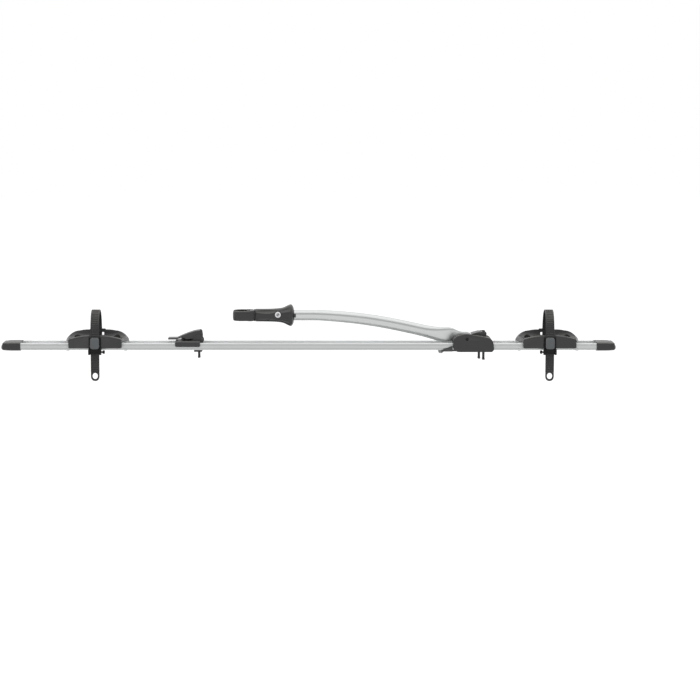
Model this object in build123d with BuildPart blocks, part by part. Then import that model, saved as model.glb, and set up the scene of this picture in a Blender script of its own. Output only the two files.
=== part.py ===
from build123d import *
from math import cos, radians, sin, tan
import os

# Roof mounted bike carrier, folded flat, in millimetres.
# X runs along the tray towards the arm base and the front wheel, Z is up from the roof bar.
# The origin is the middle of the front seat, where the arm base stands on the front roof bar.

# Whole carrier
OVERALL_LENGTH = 1490.0
REAR_TIP_X = -1165.0
FRONT_TIP_X = REAR_TIP_X + OVERALL_LENGTH
SEAT_TO_TRAY = 5.0
CLEARANCE = 0.3

# Tray extrusion
TRAY_WIDTH = 60.0
TRAY_HEIGHT = 17.0
TRAY_WALL = 1.8
TRAY_FLOOR = 2.0
CAP_LENGTH = 49.0
CAP_WALL = 2.0
TRAY_X_MIN = REAR_TIP_X + 4.0
TRAY_X_MAX = FRONT_TIP_X - 4.0
TRAY_BOTTOM = SEAT_TO_TRAY
TRAY_TOP = SEAT_TO_TRAY + TRAY_HEIGHT

# Wheel holders
REAR_HOLDER_X = -935.0
FRONT_HOLDER_X = 162.0
FAR_HALF_LENGTH = 76.0
NEAR_HALF_LENGTH = 64.0
CRADLE_Y = 39.0
FAR_RIM_Z = 48.0
NEAR_RIM_Z = 42.3
NEAR_END_Z = 32.5
NEAR_SKIRT_Z = 10.5
WHEEL_RADIUS = 340.0
TROUGH_FLOOR_Z = 25.5
STRAP_WIDTH = 21.0
STRAP_THICKNESS = 2.6
STRAP_NEAR_Y = -38.5
STRAP_FAR_Y = 36.5
STRAP_TOP_Z = 99.4
STRAP_SPRING_Z = 44.0
STRAP_TAIL_Z = -69.0
STRAP_PITCH = 5.0
ANCHOR_Z = 29.0
ANCHOR_RADIUS = 1.0

# Buckle
BUCKLE_HALF_WIDTH = 14.2
LEVER_HALF_WIDTH = 10.8
SHAFT_Y = -44.5
SHAFT_Z = 2.2
SHAFT_RADIUS = 2.0
PAWL_Y = -43.4
PAWL_Z = 17.0

# Arm and its pivot
PIVOT_X = -38.0
PIVOT_Z = 33.0
PIVOT_RADIUS = 3.8
TONGUE_HALF = 5.5
HEAD_Z = 87.0
ARM_HEAD_X = -454.7
TUBE_WALL = 1.8

# Cam levers
PIN_Z = 37.6
CAM_RADIUS = 6.5
CAM_OFFSET = 2.2
CAM_PHASE = 60.0
BEARING_Z = 30.0
BEARING_PLATE = 1.5
BOLT_RADIUS = 3.0
BASE_BOLTS = ((-5.0, 11.0), (4.0, -11.0))
SCREW_PLACES = ((-58.0, 22.5), (-58.0, -22.5), (20.0, 22.5), (20.0, -22.5))
SCREW_RADIUS = 1.6
SCREW_HEAD_Z = 0.2
BASE_BOLT_Z = -19.7
BRACKET_X = -685.6
BRACKET_BOLT_Z = -16.3

# Frame holder head
KNOB_FRONT_X = -549.0
KNOB_REAR_X = -455.6
CORE_RADIUS = 8.0
CORE_BORE = 4.2
ROD_RADIUS = 4.0
CLAW_PIVOT_X = -562.0
CLAW_PIVOT_Y = 15.0
CLAW_CENTRE_X = -580.0
CLAW_INNER = 20.0
PALM_RADIUS = 17.2
CLAW_OUTER = 30.0
CLAW_HALF_HEIGHT = 12.6
CLAW_PIN_RADIUS = 2.5
CLAW_SWING = 40.0
DRAW_TRAVEL = 2 * CLAW_PIVOT_Y * tan(radians(CLAW_SWING / 2))
DRAW_PIN_X = CLAW_PIVOT_X + DRAW_TRAVEL / 2
LOCK_X = -494.0
LOCK_Z = HEAD_Z + 2.6

os.makedirs("parts", exist_ok=True)


def across(y):
    """The upright plane at this y in which sketches read as X and Z. Extrusions go towards -Y."""
    return Plane(origin=(0, y, 0), x_dir=(1, 0, 0), z_dir=(0, -1, 0))


def level(z):
    """The level plane at this height in which sketches read as X and Y."""
    return Plane.XY.offset(z)


def along(x, z=0.0):
    """The plane across the tray at this x, read as Y and Z from height z. Extrusions go towards +X."""
    return Plane(origin=(x, 0, z), x_dir=(0, 1, 0), z_dir=(1, 0, 0))


# The tray: an aluminium extrusion with bulbed rims and an inner track of two lipped ribs
with BuildPart() as tray_channel:
    with BuildSketch(along(TRAY_X_MIN, TRAY_BOTTOM)):
        with BuildLine():
            Polyline((0, 0), (26, 0))
            RadiusArc((26, 0), (30, 4), -4)
            Polyline((30, 4), (30, 13.7), (29.5, 14.2), (30, 14.8))
            RadiusArc((30, 14.8), (27.8, 17), -2.2)
            Polyline((27.8, 17), (26.6, 16.4), (26.6, 14.4), (28.2, 13.4), (28.2, 4.4))
            RadiusArc((28.2, 4.4), (25.8, 2), 2.4)
            Polyline((25.8, 2), (18.8, 2), (18.8, 7), (15, 7), (15, 5.5), (17.2, 5.5), (17.2, 2), (0, 2))
            mirror(about=Plane.YZ)
        make_face()
    extrude(amount=TRAY_X_MAX - TRAY_X_MIN)
    with BuildSketch(level(TRAY_BOTTOM)):
        with Locations((BRACKET_X, 0)):
            SlotOverall(250, 9)
        with Locations(*BASE_BOLTS):
            Circle(BOLT_RADIUS + 0.5)
        with Locations(*SCREW_PLACES):
            Circle(2.3)
    extrude(amount=TRAY_FLOOR, mode=Mode.SUBTRACT)
tray_channel.part.label = "tray_channel"
export_step(tray_channel.part, "parts/tray_channel.step")


# Moulded end caps, a side outline crossed with a plan outline, open towards the tray
with BuildPart() as end_cap:
    with BuildSketch(across(33)):
        with BuildLine():
            RadiusArc((0, 9), (15, 24), 17)
            Polyline((15, 24), (CAP_LENGTH, 24), (CAP_LENGTH, 2.8), (3, 2.8))
            RadiusArc((0, 9), (3, 2.8), -7)
        make_face()
    extrude(amount=66)
    with BuildSketch(level(0)):
        with BuildLine():
            RadiusArc((0, 14), (0, -14), -60)
            RadiusArc((0, 14), (17, 32.2), 22)
            Polyline((17, 32.2), (CAP_LENGTH, 32.2), (CAP_LENGTH, -32.2), (17, -32.2))
            RadiusArc((0, -14), (17, -32.2), -22)
        make_face()
    extrude(amount=30, mode=Mode.INTERSECT)
    with BuildSketch(along(4, TRAY_BOTTOM)):
        with Locations((0, TRAY_HEIGHT / 2)):
            RectangleRounded(TRAY_WIDTH + 0.2, TRAY_HEIGHT + 0.2, 1.5)
    extrude(amount=CAP_LENGTH, mode=Mode.SUBTRACT)
    fillet(end_cap.edges().group_by(Axis.Z)[-1].filter_by(GeomType.LINE).filter_by(Axis.X), 1.6)

for cap_name, cap in (
    ("end_cap_rear", end_cap.part.moved(Location((REAR_TIP_X, 0, 0)))),
    ("end_cap_front", mirror(end_cap.part, about=Plane.YZ).moved(Location((FRONT_TIP_X, 0, 0)))),
):
    cap.label = cap_name
    export_step(cap, f"parts/{cap_name}.step")


# Arm base housing: a moulded saddle over the tray with a domed near cheek
HOUSING_NEAR_Y = -40.0
HOUSING_FAR_Y = 38.0
DOME_FAR_Y = 16.0
SKIRT_TOP_Z = 34.0
DOME_SKIN = 3.5
CHEEK_TOP_Z = 41.0
ARM_SLOT_HALF = TONGUE_HALF + 1.9
LEVER_POCKET_HALF = 20.2
CAM_INNER_Y = 14.3
CAM_OUTER_Y = 17.7
YOKE_HALF = 13.9
with BuildPart() as base_housing:
    with BuildSketch(across(DOME_FAR_Y)):
        with BuildLine():
            Polyline((-71.7, 15), (-70.8, 30.6))
            ThreePointArc((-70.8, 30.6), (-62.8, 39), (-52.5, 43.1))
            ThreePointArc((-52.5, 43.1), (-40, 45.5), (-27.6, 44.3))
            Polyline((-27.6, 44.3), (11.2, 37.2))
            ThreePointArc((11.2, 37.2), (22.6, 30), (26.1, 21))
            Polyline((26.1, 21), (27.8, 8.8), (25.1, 3.7), (22, 1.6), (-57.7, 1.6), (-68.6, 5.4), (-71.7, 15))
        make_face()
    extrude(amount=DOME_FAR_Y - HOUSING_NEAR_Y)
    with BuildSketch(across(HOUSING_FAR_Y)):
        with BuildLine():
            Polyline((-71.7, 15), (-70.8, 27))
            ThreePointArc((-70.8, 27), (-67, 31.6), (-60, SKIRT_TOP_Z))
            Polyline((-60, SKIRT_TOP_Z), (16, SKIRT_TOP_Z))
            ThreePointArc((16, SKIRT_TOP_Z), (22.6, 30), (26.1, 21))
            Polyline((26.1, 21), (27.8, 8.8), (25.1, 3.7), (22, 1.6), (-57.7, 1.6), (-68.6, 5.4), (-71.7, 15))
        make_face()
    extrude(amount=HOUSING_FAR_Y - DOME_FAR_Y)
    near_rim = base_housing.faces().filter_by(Axis.Y).sort_by(Axis.Y)[0].outer_wire().edges()
    fillet(near_rim.filter_by(lambda edge: edge.center().Z > 20), 3.5)
    far_rim = base_housing.faces().filter_by(Axis.Y).sort_by(Axis.Y)[-1].outer_wire().edges()
    chamfer(far_rim.filter_by(lambda edge: edge.center().Z > SKIRT_TOP_Z - 1), 1.8)
    # The cheeks beside the arm stand lower, behind the dome's skin
    with BuildSketch(across(DOME_FAR_Y + 1)):
        with Locations((-43, CHEEK_TOP_Z + 10)):
            Rectangle(70, 20)
    extrude(amount=DOME_FAR_Y + 1 - HOUSING_NEAR_Y - DOME_SKIN, mode=Mode.SUBTRACT)
    # The tray passes through, with room under it for the foot plate
    with BuildSketch(along(-80, 0)):
        with Locations((0, TRAY_TOP / 2)):
            Rectangle(TRAY_WIDTH + 2 * CLEARANCE, TRAY_TOP + 2 * CLEARANCE)
    extrude(amount=115, mode=Mode.SUBTRACT)
    # Slot for the arm's tongue
    with BuildSketch(across(ARM_SLOT_HALF)):
        with BuildLine():
            Polyline((-80, 15), (-80, 60), (-20, 60), (-20, 15), (-80, 15))
        make_face()
    extrude(amount=2 * ARM_SLOT_HALF, mode=Mode.SUBTRACT)
    # Pocket for the cam lever, with its seat for the wear plate
    with BuildSketch(across(LEVER_POCKET_HALF)):
        with BuildLine():
            Polyline((-30, 40), (-12, BEARING_Z - BEARING_PLATE), (9, BEARING_Z - BEARING_PLATE))
            Polyline((9, BEARING_Z - BEARING_PLATE), (10, 25), (21, 25), (21, 60), (-30, 60), (-30, 40))
        make_face()
    extrude(amount=2 * LEVER_POCKET_HALF, mode=Mode.SUBTRACT)
    # Grooves beside the wear plate, into which the lever's heels swing
    with BuildSketch(level(TRAY_TOP - 1)):
        with Locations((3, CAM_OUTER_Y + 1.2), (3, -CAM_OUTER_Y - 1.2)):
            Rectangle(26, 2.6)
    extrude(amount=20, mode=Mode.SUBTRACT)
    # Bolt holes and pivot bore
    with BuildSketch(level(TRAY_TOP)):
        with Locations(*BASE_BOLTS):
            Circle(BOLT_RADIUS + 0.5)
    extrude(amount=12, mode=Mode.SUBTRACT)
    with BuildSketch(across(DOME_FAR_Y - 3)):
        with Locations((PIVOT_X, PIVOT_Z)):
            Circle(PIVOT_RADIUS)
    extrude(amount=60, mode=Mode.SUBTRACT)
    # Screw bosses inside the channel
    with BuildSketch(level(TRAY_BOTTOM + TRAY_FLOOR + 0.2)):
        with Locations(*SCREW_PLACES):
            Circle(3.1)
            Circle(SCREW_RADIUS, mode=Mode.SUBTRACT)
    extrude(amount=TRAY_TOP - TRAY_BOTTOM - TRAY_FLOOR + 0.4)
base_housing.part.label = "base_housing"
export_step(base_housing.part, "parts/base_housing.step")

# Foot plate: pressed steel under the tray, cranked down to a hook ahead of the roof bar,
# with a tapering wing up each side of the tray
PAD_THICKNESS = 2.0
WING_OUTER_Y = 33.2
WING_END_X = -97.0
with BuildPart() as base_foot:
    with BuildSketch(across(28)):
        with BuildLine():
            Polyline((-98, 1.2), (-95, 4.9), (25, 4.9), (25, PAD_THICKNESS), (-93, PAD_THICKNESS))
            Polyline((-93, PAD_THICKNESS), (-97, -1.4), (-98, 1.2))
        make_face()
    extrude(amount=56)
    with BuildSketch(level(PAD_THICKNESS)):
        with Locations(((WING_END_X - 72.4) / 2, 0)):
            Rectangle(-72.4 - WING_END_X, 2 * WING_OUTER_Y)
    extrude(amount=2.9)
    for outer in (WING_OUTER_Y, -WING_OUTER_Y + 2):
        with BuildSketch(across(outer)):
            with BuildLine():
                Polyline((-72.4, PAD_THICKNESS), (-72.4, 15.5), (-76, 15), (-84, 11.2), (-93, 8.8), (WING_END_X, 6))
                Polyline((WING_END_X, 6), (WING_END_X, PAD_THICKNESS), (-72.4, PAD_THICKNESS))
            make_face()
        extrude(amount=2)
    with BuildSketch(level(-3)):
        with Locations((-103.2, 24), (-103.2, -24)):
            Rectangle(16, 20)
        with Locations(*BASE_BOLTS):
            Circle(BOLT_RADIUS + 0.4)
        with Locations(*SCREW_PLACES):
            Circle(2.2)
    extrude(amount=12, mode=Mode.SUBTRACT)
base_foot.part.label = "base_foot"
export_step(base_foot.part, "parts/base_foot.step")

# Ribbed rubber seat under the foot plate
with BuildPart() as base_pad:
    with BuildSketch(level(0)):
        with Locations((-18, 0)):
            RectangleRounded(68, 50, 5)
        with Locations(*BASE_BOLTS):
            Circle(BOLT_RADIUS + 0.6, mode=Mode.SUBTRACT)
    extrude(amount=PAD_THICKNESS)
base_pad.part.label = "base_pad"
export_step(base_pad.part, "parts/base_pad.step")

# Grey rubber sleeve on the hook's tip
with BuildPart() as hook_pad:
    with BuildSketch(across(13)):
        with BuildLine():
            Polyline((-98.1, 1.2), (-97, -1.5), (-93.2, 1.7), (-92.2, -0.6), (-97, -4.6), (-104, -4))
            Polyline((-104, -4), (-105.5, 4.8), (-97.1, 4.9), (-97.1, 2.4), (-98.1, 1.2))
        make_face()
    extrude(amount=26)
hook_pad.part.label = "hook_pad"
export_step(hook_pad.part, "parts/hook_pad.step")

# Four screws that hold the foot plate and the tray to the housing
with BuildPart() as base_screws:
    with BuildSketch(level(SCREW_HEAD_Z)):
        with Locations(*SCREW_PLACES):
            Circle(3.6)
    extrude(amount=PAD_THICKNESS - SCREW_HEAD_Z)
    with BuildSketch(level(PAD_THICKNESS)):
        with Locations(*SCREW_PLACES):
            Circle(SCREW_RADIUS)
    extrude(amount=14)
base_screws.part.label = "base_screws"
export_step(base_screws.part, "parts/base_screws.step")

# Pivot pin of the arm, with a retaining ring on its far end
with BuildPart() as pivot_pin:
    with BuildSketch(across(DOME_FAR_Y - 3)):
        with Locations((PIVOT_X, PIVOT_Z)):
            Circle(PIVOT_RADIUS)
    extrude(amount=DOME_FAR_Y - 3 + 34)
    chamfer(pivot_pin.edges().filter_by(GeomType.CIRCLE), 0.5)
pivot_pin.part.label = "pivot_pin"
export_step(pivot_pin.part, "parts/pivot_pin.step")


# Steel wear plate under the cam lobes
with BuildPart() as base_wear_plate:
    with BuildSketch(level(BEARING_Z - BEARING_PLATE)):
        Rectangle(17.6, 2 * (CAM_OUTER_Y - 0.2))
        with Locations(*BASE_BOLTS):
            Circle(BOLT_RADIUS + 0.6, mode=Mode.SUBTRACT)
    extrude(amount=BEARING_PLATE)
base_wear_plate.part.label = "base_wear_plate"
export_step(base_wear_plate.part, "parts/base_wear_plate.step")


# T-bolts of the front seat: shanks with a long narrow head that turns in the roof bar's slot
BASE_PIN_X = -0.5
TRUNNION_RADIUS = 3.0
HEAD_LENGTH = 18.0
HEAD_THICKNESS = 3.4
YOKE_BOTTOM_Z = 34.4
YOKE_TOP_Z = 40.6
with BuildPart() as base_t_bolts:
    with BuildSketch(level(BASE_BOLT_Z)):
        with Locations(*BASE_BOLTS):
            SlotOverall(HEAD_LENGTH, 2 * BOLT_RADIUS, rotation=90)
    extrude(amount=HEAD_THICKNESS)
    with BuildSketch(level(BASE_BOLT_Z + HEAD_THICKNESS)):
        with Locations(*BASE_BOLTS):
            Circle(BOLT_RADIUS)
    extrude(amount=YOKE_TOP_Z + 1.5 - BASE_BOLT_Z - HEAD_THICKNESS)
base_t_bolts.part.label = "base_t_bolts"
export_step(base_t_bolts.part, "parts/base_t_bolts.step")

# Yoke that carries both bolts on the lever's pin
with BuildPart() as base_yoke:
    with BuildSketch(level(YOKE_BOTTOM_Z)):
        with BuildLine():
            Polyline((-8.8, YOKE_HALF), (-1, YOKE_HALF), (7.8, -7), (7.8, -YOKE_HALF))
            Polyline((7.8, -YOKE_HALF), (0, -YOKE_HALF), (-8.8, 7), (-8.8, YOKE_HALF))
        make_face()
        with Locations(*BASE_BOLTS):
            Circle(BOLT_RADIUS, mode=Mode.SUBTRACT)
    extrude(amount=YOKE_TOP_Z - YOKE_BOTTOM_Z)
    for side in (-1, 1):
        with BuildSketch(across(side * YOKE_HALF)):
            with Locations((BASE_PIN_X, PIN_Z)):
                Circle(TRUNNION_RADIUS)
        extrude(amount=-side * (CAM_OUTER_Y - YOKE_HALF + 1))
base_yoke.part.label = "base_yoke"
export_step(base_yoke.part, "parts/base_yoke.step")


# Short cam lever of the arm base: two cams inside side skins, under a bridged back with a thumb groove
LOBE_X = -CAM_OFFSET * sin(radians(CAM_PHASE))
LOBE_Z = -CAM_OFFSET * cos(radians(CAM_PHASE))
LEVER_HALF = 19.4
with BuildPart() as base_cam_lever:
    with BuildSketch(across(LEVER_HALF)):
        with BuildLine():
            Polyline((-25.5, 41.6), (-25.2, 43.4), (-6, 48.4), (-5.2, 47.2), (-3.6, 47.2), (-3, 48.6), (7, 48.6))
            ThreePointArc((7, 48.6), (9.6, 47.3), (10.6, 44.4))
            Polyline((10.6, 44.4), (10.6, 38), (8, 34.4), (-8, 34.4), (-13, 38.2), (-25.5, 41.6))
        make_face()
    extrude(amount=2 * LEVER_HALF)
    # Open between the skins, from the back's edge to the heels
    with BuildSketch(across(CAM_OUTER_Y)):
        with BuildLine():
            Polyline((-18, 30), (-10.5, PIN_Z), (-10.5, 41))
            ThreePointArc((-10.5, 41), (-6, 45.4), (1, 46.4))
            Polyline((1, 46.4), (1, 60), (14, 60), (14, 30), (-18, 30))
        make_face()
    extrude(amount=2 * CAM_OUTER_Y, mode=Mode.SUBTRACT)
    for near_y in (CAM_OUTER_Y, -CAM_INNER_Y):
        with BuildSketch(across(near_y)):
            with Locations((BASE_PIN_X + LOBE_X, PIN_Z + LOBE_Z)):
                Circle(CAM_RADIUS)
        extrude(amount=CAM_OUTER_Y - CAM_INNER_Y)
    with BuildSketch(across(LEVER_HALF)):
        with Locations((BASE_PIN_X, PIN_Z)):
            Circle(TRUNNION_RADIUS + 0.05)
    extrude(amount=2 * LEVER_HALF, mode=Mode.SUBTRACT)
base_cam_lever.part.label = "base_cam_lever"
export_step(base_cam_lever.part, "parts/base_cam_lever.step")


# Rear bar bracket: a saddle that slides along the tray
BRACKET_MIN_X = -742.0
BRACKET_MAX_X = -674.5
BRACKET_NEAR_Y = 34.0
BRACKET_LEVER_HALF = 15.0
BRACKET_CAM_HALF = 12.4
with BuildPart() as bracket_saddle:
    with BuildSketch(along(BRACKET_MIN_X)):
        with BuildLine():
            Polyline((-BRACKET_NEAR_Y, 13.3), (-BRACKET_NEAR_Y, 24.6), (-31, 26.5), (31, 26.5))
            Polyline((31, 26.5), (BRACKET_NEAR_Y, 24.6), (BRACKET_NEAR_Y, 13.3), (30.3, 13.3))
            Polyline((30.3, 13.3), (30.3, TRAY_TOP + CLEARANCE), (-30.3, TRAY_TOP + CLEARANCE))
            Polyline((-30.3, TRAY_TOP + CLEARANCE), (-30.3, 13.3), (-BRACKET_NEAR_Y, 13.3))
        make_face()
    extrude(amount=60)
    skirt_corners = bracket_saddle.edges().filter_by(Axis.Y).group_by(Axis.Z)[0]
    fillet(skirt_corners, 3)
    # Guide block inside the channel, running between the ribs
    with BuildSketch(along(BRACKET_MIN_X + 8)):
        with Locations((0, 16)):
            Rectangle(29.2, 13)
    extrude(amount=50)
    # Post under the cam and ears beside it
    with BuildSketch(across(BRACKET_CAM_HALF - 0.2)):
        with BuildLine():
            Polyline((-698, 26), (-695, BEARING_Z - BEARING_PLATE), (-677.5, BEARING_Z - BEARING_PLATE))
            Polyline((-677.5, BEARING_Z - BEARING_PLATE), (-677.5, 22.3), (-698, 22.3), (-698, 26))
        make_face()
    extrude(amount=2 * (BRACKET_CAM_HALF - 0.2))
    with BuildSketch(level(24.4)):
        with Locations((-686, BRACKET_CAM_HALF + 1.3), (-686, -BRACKET_CAM_HALF - 1.3)):
            Rectangle(26, 3)
    extrude(amount=8, mode=Mode.SUBTRACT)
    for near_y in (BRACKET_LEVER_HALF + 3.6, -BRACKET_LEVER_HALF - 0.5):
        with BuildSketch(across(near_y)):
            with BuildLine():
                Polyline((-706, 26), (-700, 30), (-690, 41), (-681, 41), (BRACKET_MAX_X, 28))
                Polyline((BRACKET_MAX_X, 28), (BRACKET_MAX_X, 22.3), (-706, 22.3), (-706, 26))
            make_face()
        extrude(amount=3.1)
    # Rib along the lever's far side
    with BuildSketch(across(BRACKET_LEVER_HALF + 3.6)):
        with BuildLine():
            Polyline((-731, 26), (-728, 32.4), (-724, 33.6), (-702, 33.6), (-697, 26), (-731, 26))
        make_face()
    extrude(amount=3.1)
    # Boss through the tray's long slot, down to the foot plate, and the bolt's bore
    with BuildSketch(level(SEAT_TO_TRAY - 0.1)):
        with Locations((BRACKET_X, 0)):
            Circle(4.3)
    extrude(amount=6)
    with BuildSketch(level(SEAT_TO_TRAY - 1)):
        with Locations((BRACKET_X, 0)):
            Circle(BOLT_RADIUS + 0.5)
    extrude(amount=28, mode=Mode.SUBTRACT)
bracket_saddle.part.label = "bracket_saddle"
export_step(bracket_saddle.part, "parts/bracket_saddle.step")

with BuildPart() as bracket_wear_plate:
    with BuildSketch(level(BEARING_Z - BEARING_PLATE)):
        with Locations((-686.3, 0)):
            Rectangle(17, 2 * (BRACKET_CAM_HALF - 0.2))
        with Locations((BRACKET_X, 0)):
            Circle(BOLT_RADIUS + 0.5, mode=Mode.SUBTRACT)
    extrude(amount=BEARING_PLATE)
bracket_wear_plate.part.label = "bracket_wear_plate"
export_step(bracket_wear_plate.part, "parts/bracket_wear_plate.step")

# Foot plate and rubber seat of the rear bracket, clamped under the tray by the bolt
with BuildPart() as bracket_foot:
    with BuildSketch(across(22)):
        with BuildLine():
            Polyline((-697, 2), (-697, 4.9), (-678, 4.9), (-678, 2), (-697, 2))
        make_face()
    extrude(amount=44)
    with BuildSketch(level(0)):
        with Locations((BRACKET_X, 0)):
            Circle(BOLT_RADIUS + 0.3)
    extrude(amount=6, mode=Mode.SUBTRACT)
    fillet(bracket_foot.edges().filter_by(Axis.Z), 2.5)
bracket_foot.part.label = "bracket_foot"
export_step(bracket_foot.part, "parts/bracket_foot.step")

with BuildPart() as bracket_pad:
    with BuildSketch(level(0)):
        with Locations((-687.5, 0)):
            RectangleRounded(19, 44, 2.5)
        with Locations((BRACKET_X, 0)):
            Circle(BOLT_RADIUS + 0.5, mode=Mode.SUBTRACT)
    extrude(amount=PAD_THICKNESS)
bracket_pad.part.label = "bracket_pad"
export_step(bracket_pad.part, "parts/bracket_pad.step")

# T-bolt, barrel nut and long cam lever of the rear bracket
BARREL_RADIUS = 4.2
with BuildPart() as bracket_t_bolt:
    with BuildSketch(level(BRACKET_BOLT_Z)):
        with Locations((BRACKET_X, 0)):
            SlotOverall(HEAD_LENGTH, 2 * BOLT_RADIUS, rotation=90)
    extrude(amount=HEAD_THICKNESS)
    with BuildSketch(level(BRACKET_BOLT_Z + HEAD_THICKNESS)):
        with Locations((BRACKET_X, 0)):
            Circle(BOLT_RADIUS)
    extrude(amount=PIN_Z + BARREL_RADIUS - 0.2 - BRACKET_BOLT_Z - HEAD_THICKNESS)
bracket_t_bolt.part.label = "bracket_t_bolt"
export_step(bracket_t_bolt.part, "parts/bracket_t_bolt.step")

with BuildPart() as bracket_barrel_nut:
    with BuildSketch(across(BRACKET_LEVER_HALF - 0.8)):
        with Locations((BRACKET_X, PIN_Z)):
            Circle(BARREL_RADIUS)
    extrude(amount=2 * BRACKET_LEVER_HALF - 1.6)
    with BuildSketch(level(20)):
        with Locations((BRACKET_X, 0)):
            Circle(BOLT_RADIUS)
    extrude(amount=40, mode=Mode.SUBTRACT)
bracket_barrel_nut.part.label = "bracket_barrel_nut"
export_step(bracket_barrel_nut.part, "parts/bracket_barrel_nut.step")

FORK_HALF = 4.2
with BuildPart() as bracket_cam_lever:
    with BuildSketch(across(BRACKET_LEVER_HALF)):
        with BuildLine():
            Polyline((-760, 29.1), (-760, 32.6), (-739, 32.8))
            ThreePointArc((-739, 32.8), (-722, 40.5), (-705.3, 46.7))
            ThreePointArc((-705.3, 46.7), (-694, 50), (-683, 51.4))
            ThreePointArc((-683, 51.4), (-679.6, 50.2), (-678, 46.5))
            Polyline((-678, 46.5), (-676.5, 36.5))
            ThreePointArc((-676.5, 36.5), (-678.2, 34), (-681, 33))
            Polyline((-681, 33), (-692, 33), (-700, 31.6), (-716, 29.6), (-722, 34), (-735, 32), (-739, 29.1))
            Polyline((-739, 29.1), (-760, 29.1))
        make_face()
    extrude(amount=2 * BRACKET_LEVER_HALF)
    crown_edges = bracket_cam_lever.edges().filter_by(lambda edge: edge.center().Z > 38)
    fillet(crown_edges.filter_by(lambda edge: abs(edge.center().Y) > 14.9), 2.2)
    # Open between the skins at the heel, with the two cams and the bolt's gap between them
    with BuildSketch(across(BRACKET_CAM_HALF)):
        with BuildLine():
            Polyline((-695, 28), (-692, 36), (-692, 43), (-684, 47), (-684, 60), (-670, 60), (-670, 28), (-695, 28))
        make_face()
    extrude(amount=2 * BRACKET_CAM_HALF, mode=Mode.SUBTRACT)
    with BuildSketch(across(BRACKET_CAM_HALF)):
        with Locations((BRACKET_X + LOBE_X, PIN_Z + LOBE_Z)):
            Circle(CAM_RADIUS)
    extrude(amount=2 * BRACKET_CAM_HALF)
    with BuildSketch(across(FORK_HALF)):
        with BuildLine():
            Polyline((-696, 20), (-694, PIN_Z), (-692, 44), (-680, 47.5), (-670, 47.5), (-670, 20), (-696, 20))
        make_face()
    extrude(amount=2 * FORK_HALF, mode=Mode.SUBTRACT)
    with BuildSketch(across(BRACKET_LEVER_HALF + 1)):
        with Locations((BRACKET_X, PIN_Z)):
            Circle(BARREL_RADIUS + 0.05)
    extrude(amount=2 * BRACKET_LEVER_HALF + 2, mode=Mode.SUBTRACT)
    # Hollow of the moulding, under the back
    with BuildSketch(across(BRACKET_LEVER_HALF - 3)):
        with BuildLine():
            Polyline((-719, 28), (-717, 37.5), (-708, 42.2), (-698, 44.5), (-697, 28), (-719, 28))
        make_face()
    extrude(amount=2 * BRACKET_LEVER_HALF - 6, mode=Mode.SUBTRACT)
bracket_cam_lever.part.label = "bracket_cam_lever"
export_step(bracket_cam_lever.part, "parts/bracket_cam_lever.step")


# Arm: one bent tube whose lower end is pressed flat into the tongue that turns in the housing
# Each station is x, centre z, slope in degrees, half height and half width
TUBE_RADIUS = 12.9
ARM_STATIONS = (
    (-412.0, HEAD_Z, 0.0, TUBE_RADIUS, TUBE_RADIUS),
    (-400.0, 86.9, 1.2, TUBE_RADIUS, TUBE_RADIUS),
    (-350.0, 83.9, 6.0, 13.4, 13.4),
    (-295.0, 78.4, 8.6, 13.6, 13.6),
    (-246.0, 71.2, 10.0, 13.8, 13.8),
    (-198.0, 62.0, 12.2, 13.8, 13.8),
    (-149.0, 51.3, 13.2, 13.8, 13.6),
    (-122.0, 45.0, 13.2, 15.0, 12.6),
    (-104.0, 42.0, 10.0, 15.6, 9.6),
    (-90.0, 40.4, 6.0, 16.4, 6.6),
)


def arm_section(x, z, slope):
    """The plane square to the arm's axis at this station."""
    normal = (cos(radians(slope)), 0, -sin(radians(slope)))
    return Plane(origin=(x, 0, z), x_dir=(0, 1, 0), z_dir=normal)


with BuildPart() as arm_tube:
    with BuildSketch(along(ARM_HEAD_X, HEAD_Z)):
        Circle(TUBE_RADIUS)
    extrude(amount=ARM_STATIONS[0][0] - ARM_HEAD_X)
    for x, z, slope, half_height, half_width in ARM_STATIONS:
        with BuildSketch(arm_section(x, z, slope)):
            Ellipse(half_width, half_height)
    loft()
    # The flattened tongue, from the heel of the pressing to the round end at the pivot
    with BuildSketch(across(TONGUE_HALF)):
        with BuildLine():
            Polyline((-112, 54), (-104, 58), (-91, 58), (-76, 54.4), (-52, 47.8), (-34.2, 47))
            ThreePointArc((-34.2, 47), (-23.5, 33), (-38, 18.5))
            Polyline((-38, 18.5), (-53, 24.5), (-69, 27.6), (-87, 20.6), (-93, 20.8), (-106, 27.5), (-112, 54))
        make_face()
    extrude(amount=2 * TONGUE_HALF)
    with BuildSketch(along(ARM_HEAD_X, HEAD_Z)):
        Circle(TUBE_RADIUS - TUBE_WALL)
    extrude(amount=ARM_STATIONS[0][0] - ARM_HEAD_X, mode=Mode.SUBTRACT)
    for x, z, slope, half_height, half_width in ARM_STATIONS[:6]:
        with BuildSketch(arm_section(x, z, slope)):
            Ellipse(half_width - TUBE_WALL, half_height - TUBE_WALL)
    loft(mode=Mode.SUBTRACT)
    with BuildSketch(across(20)):
        with Locations((PIVOT_X, PIVOT_Z)):
            Circle(PIVOT_RADIUS + 1.6)
    extrude(amount=40, mode=Mode.SUBTRACT)
arm_tube.part.label = "arm_tube"
export_step(arm_tube.part, "parts/arm_tube.step")

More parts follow.
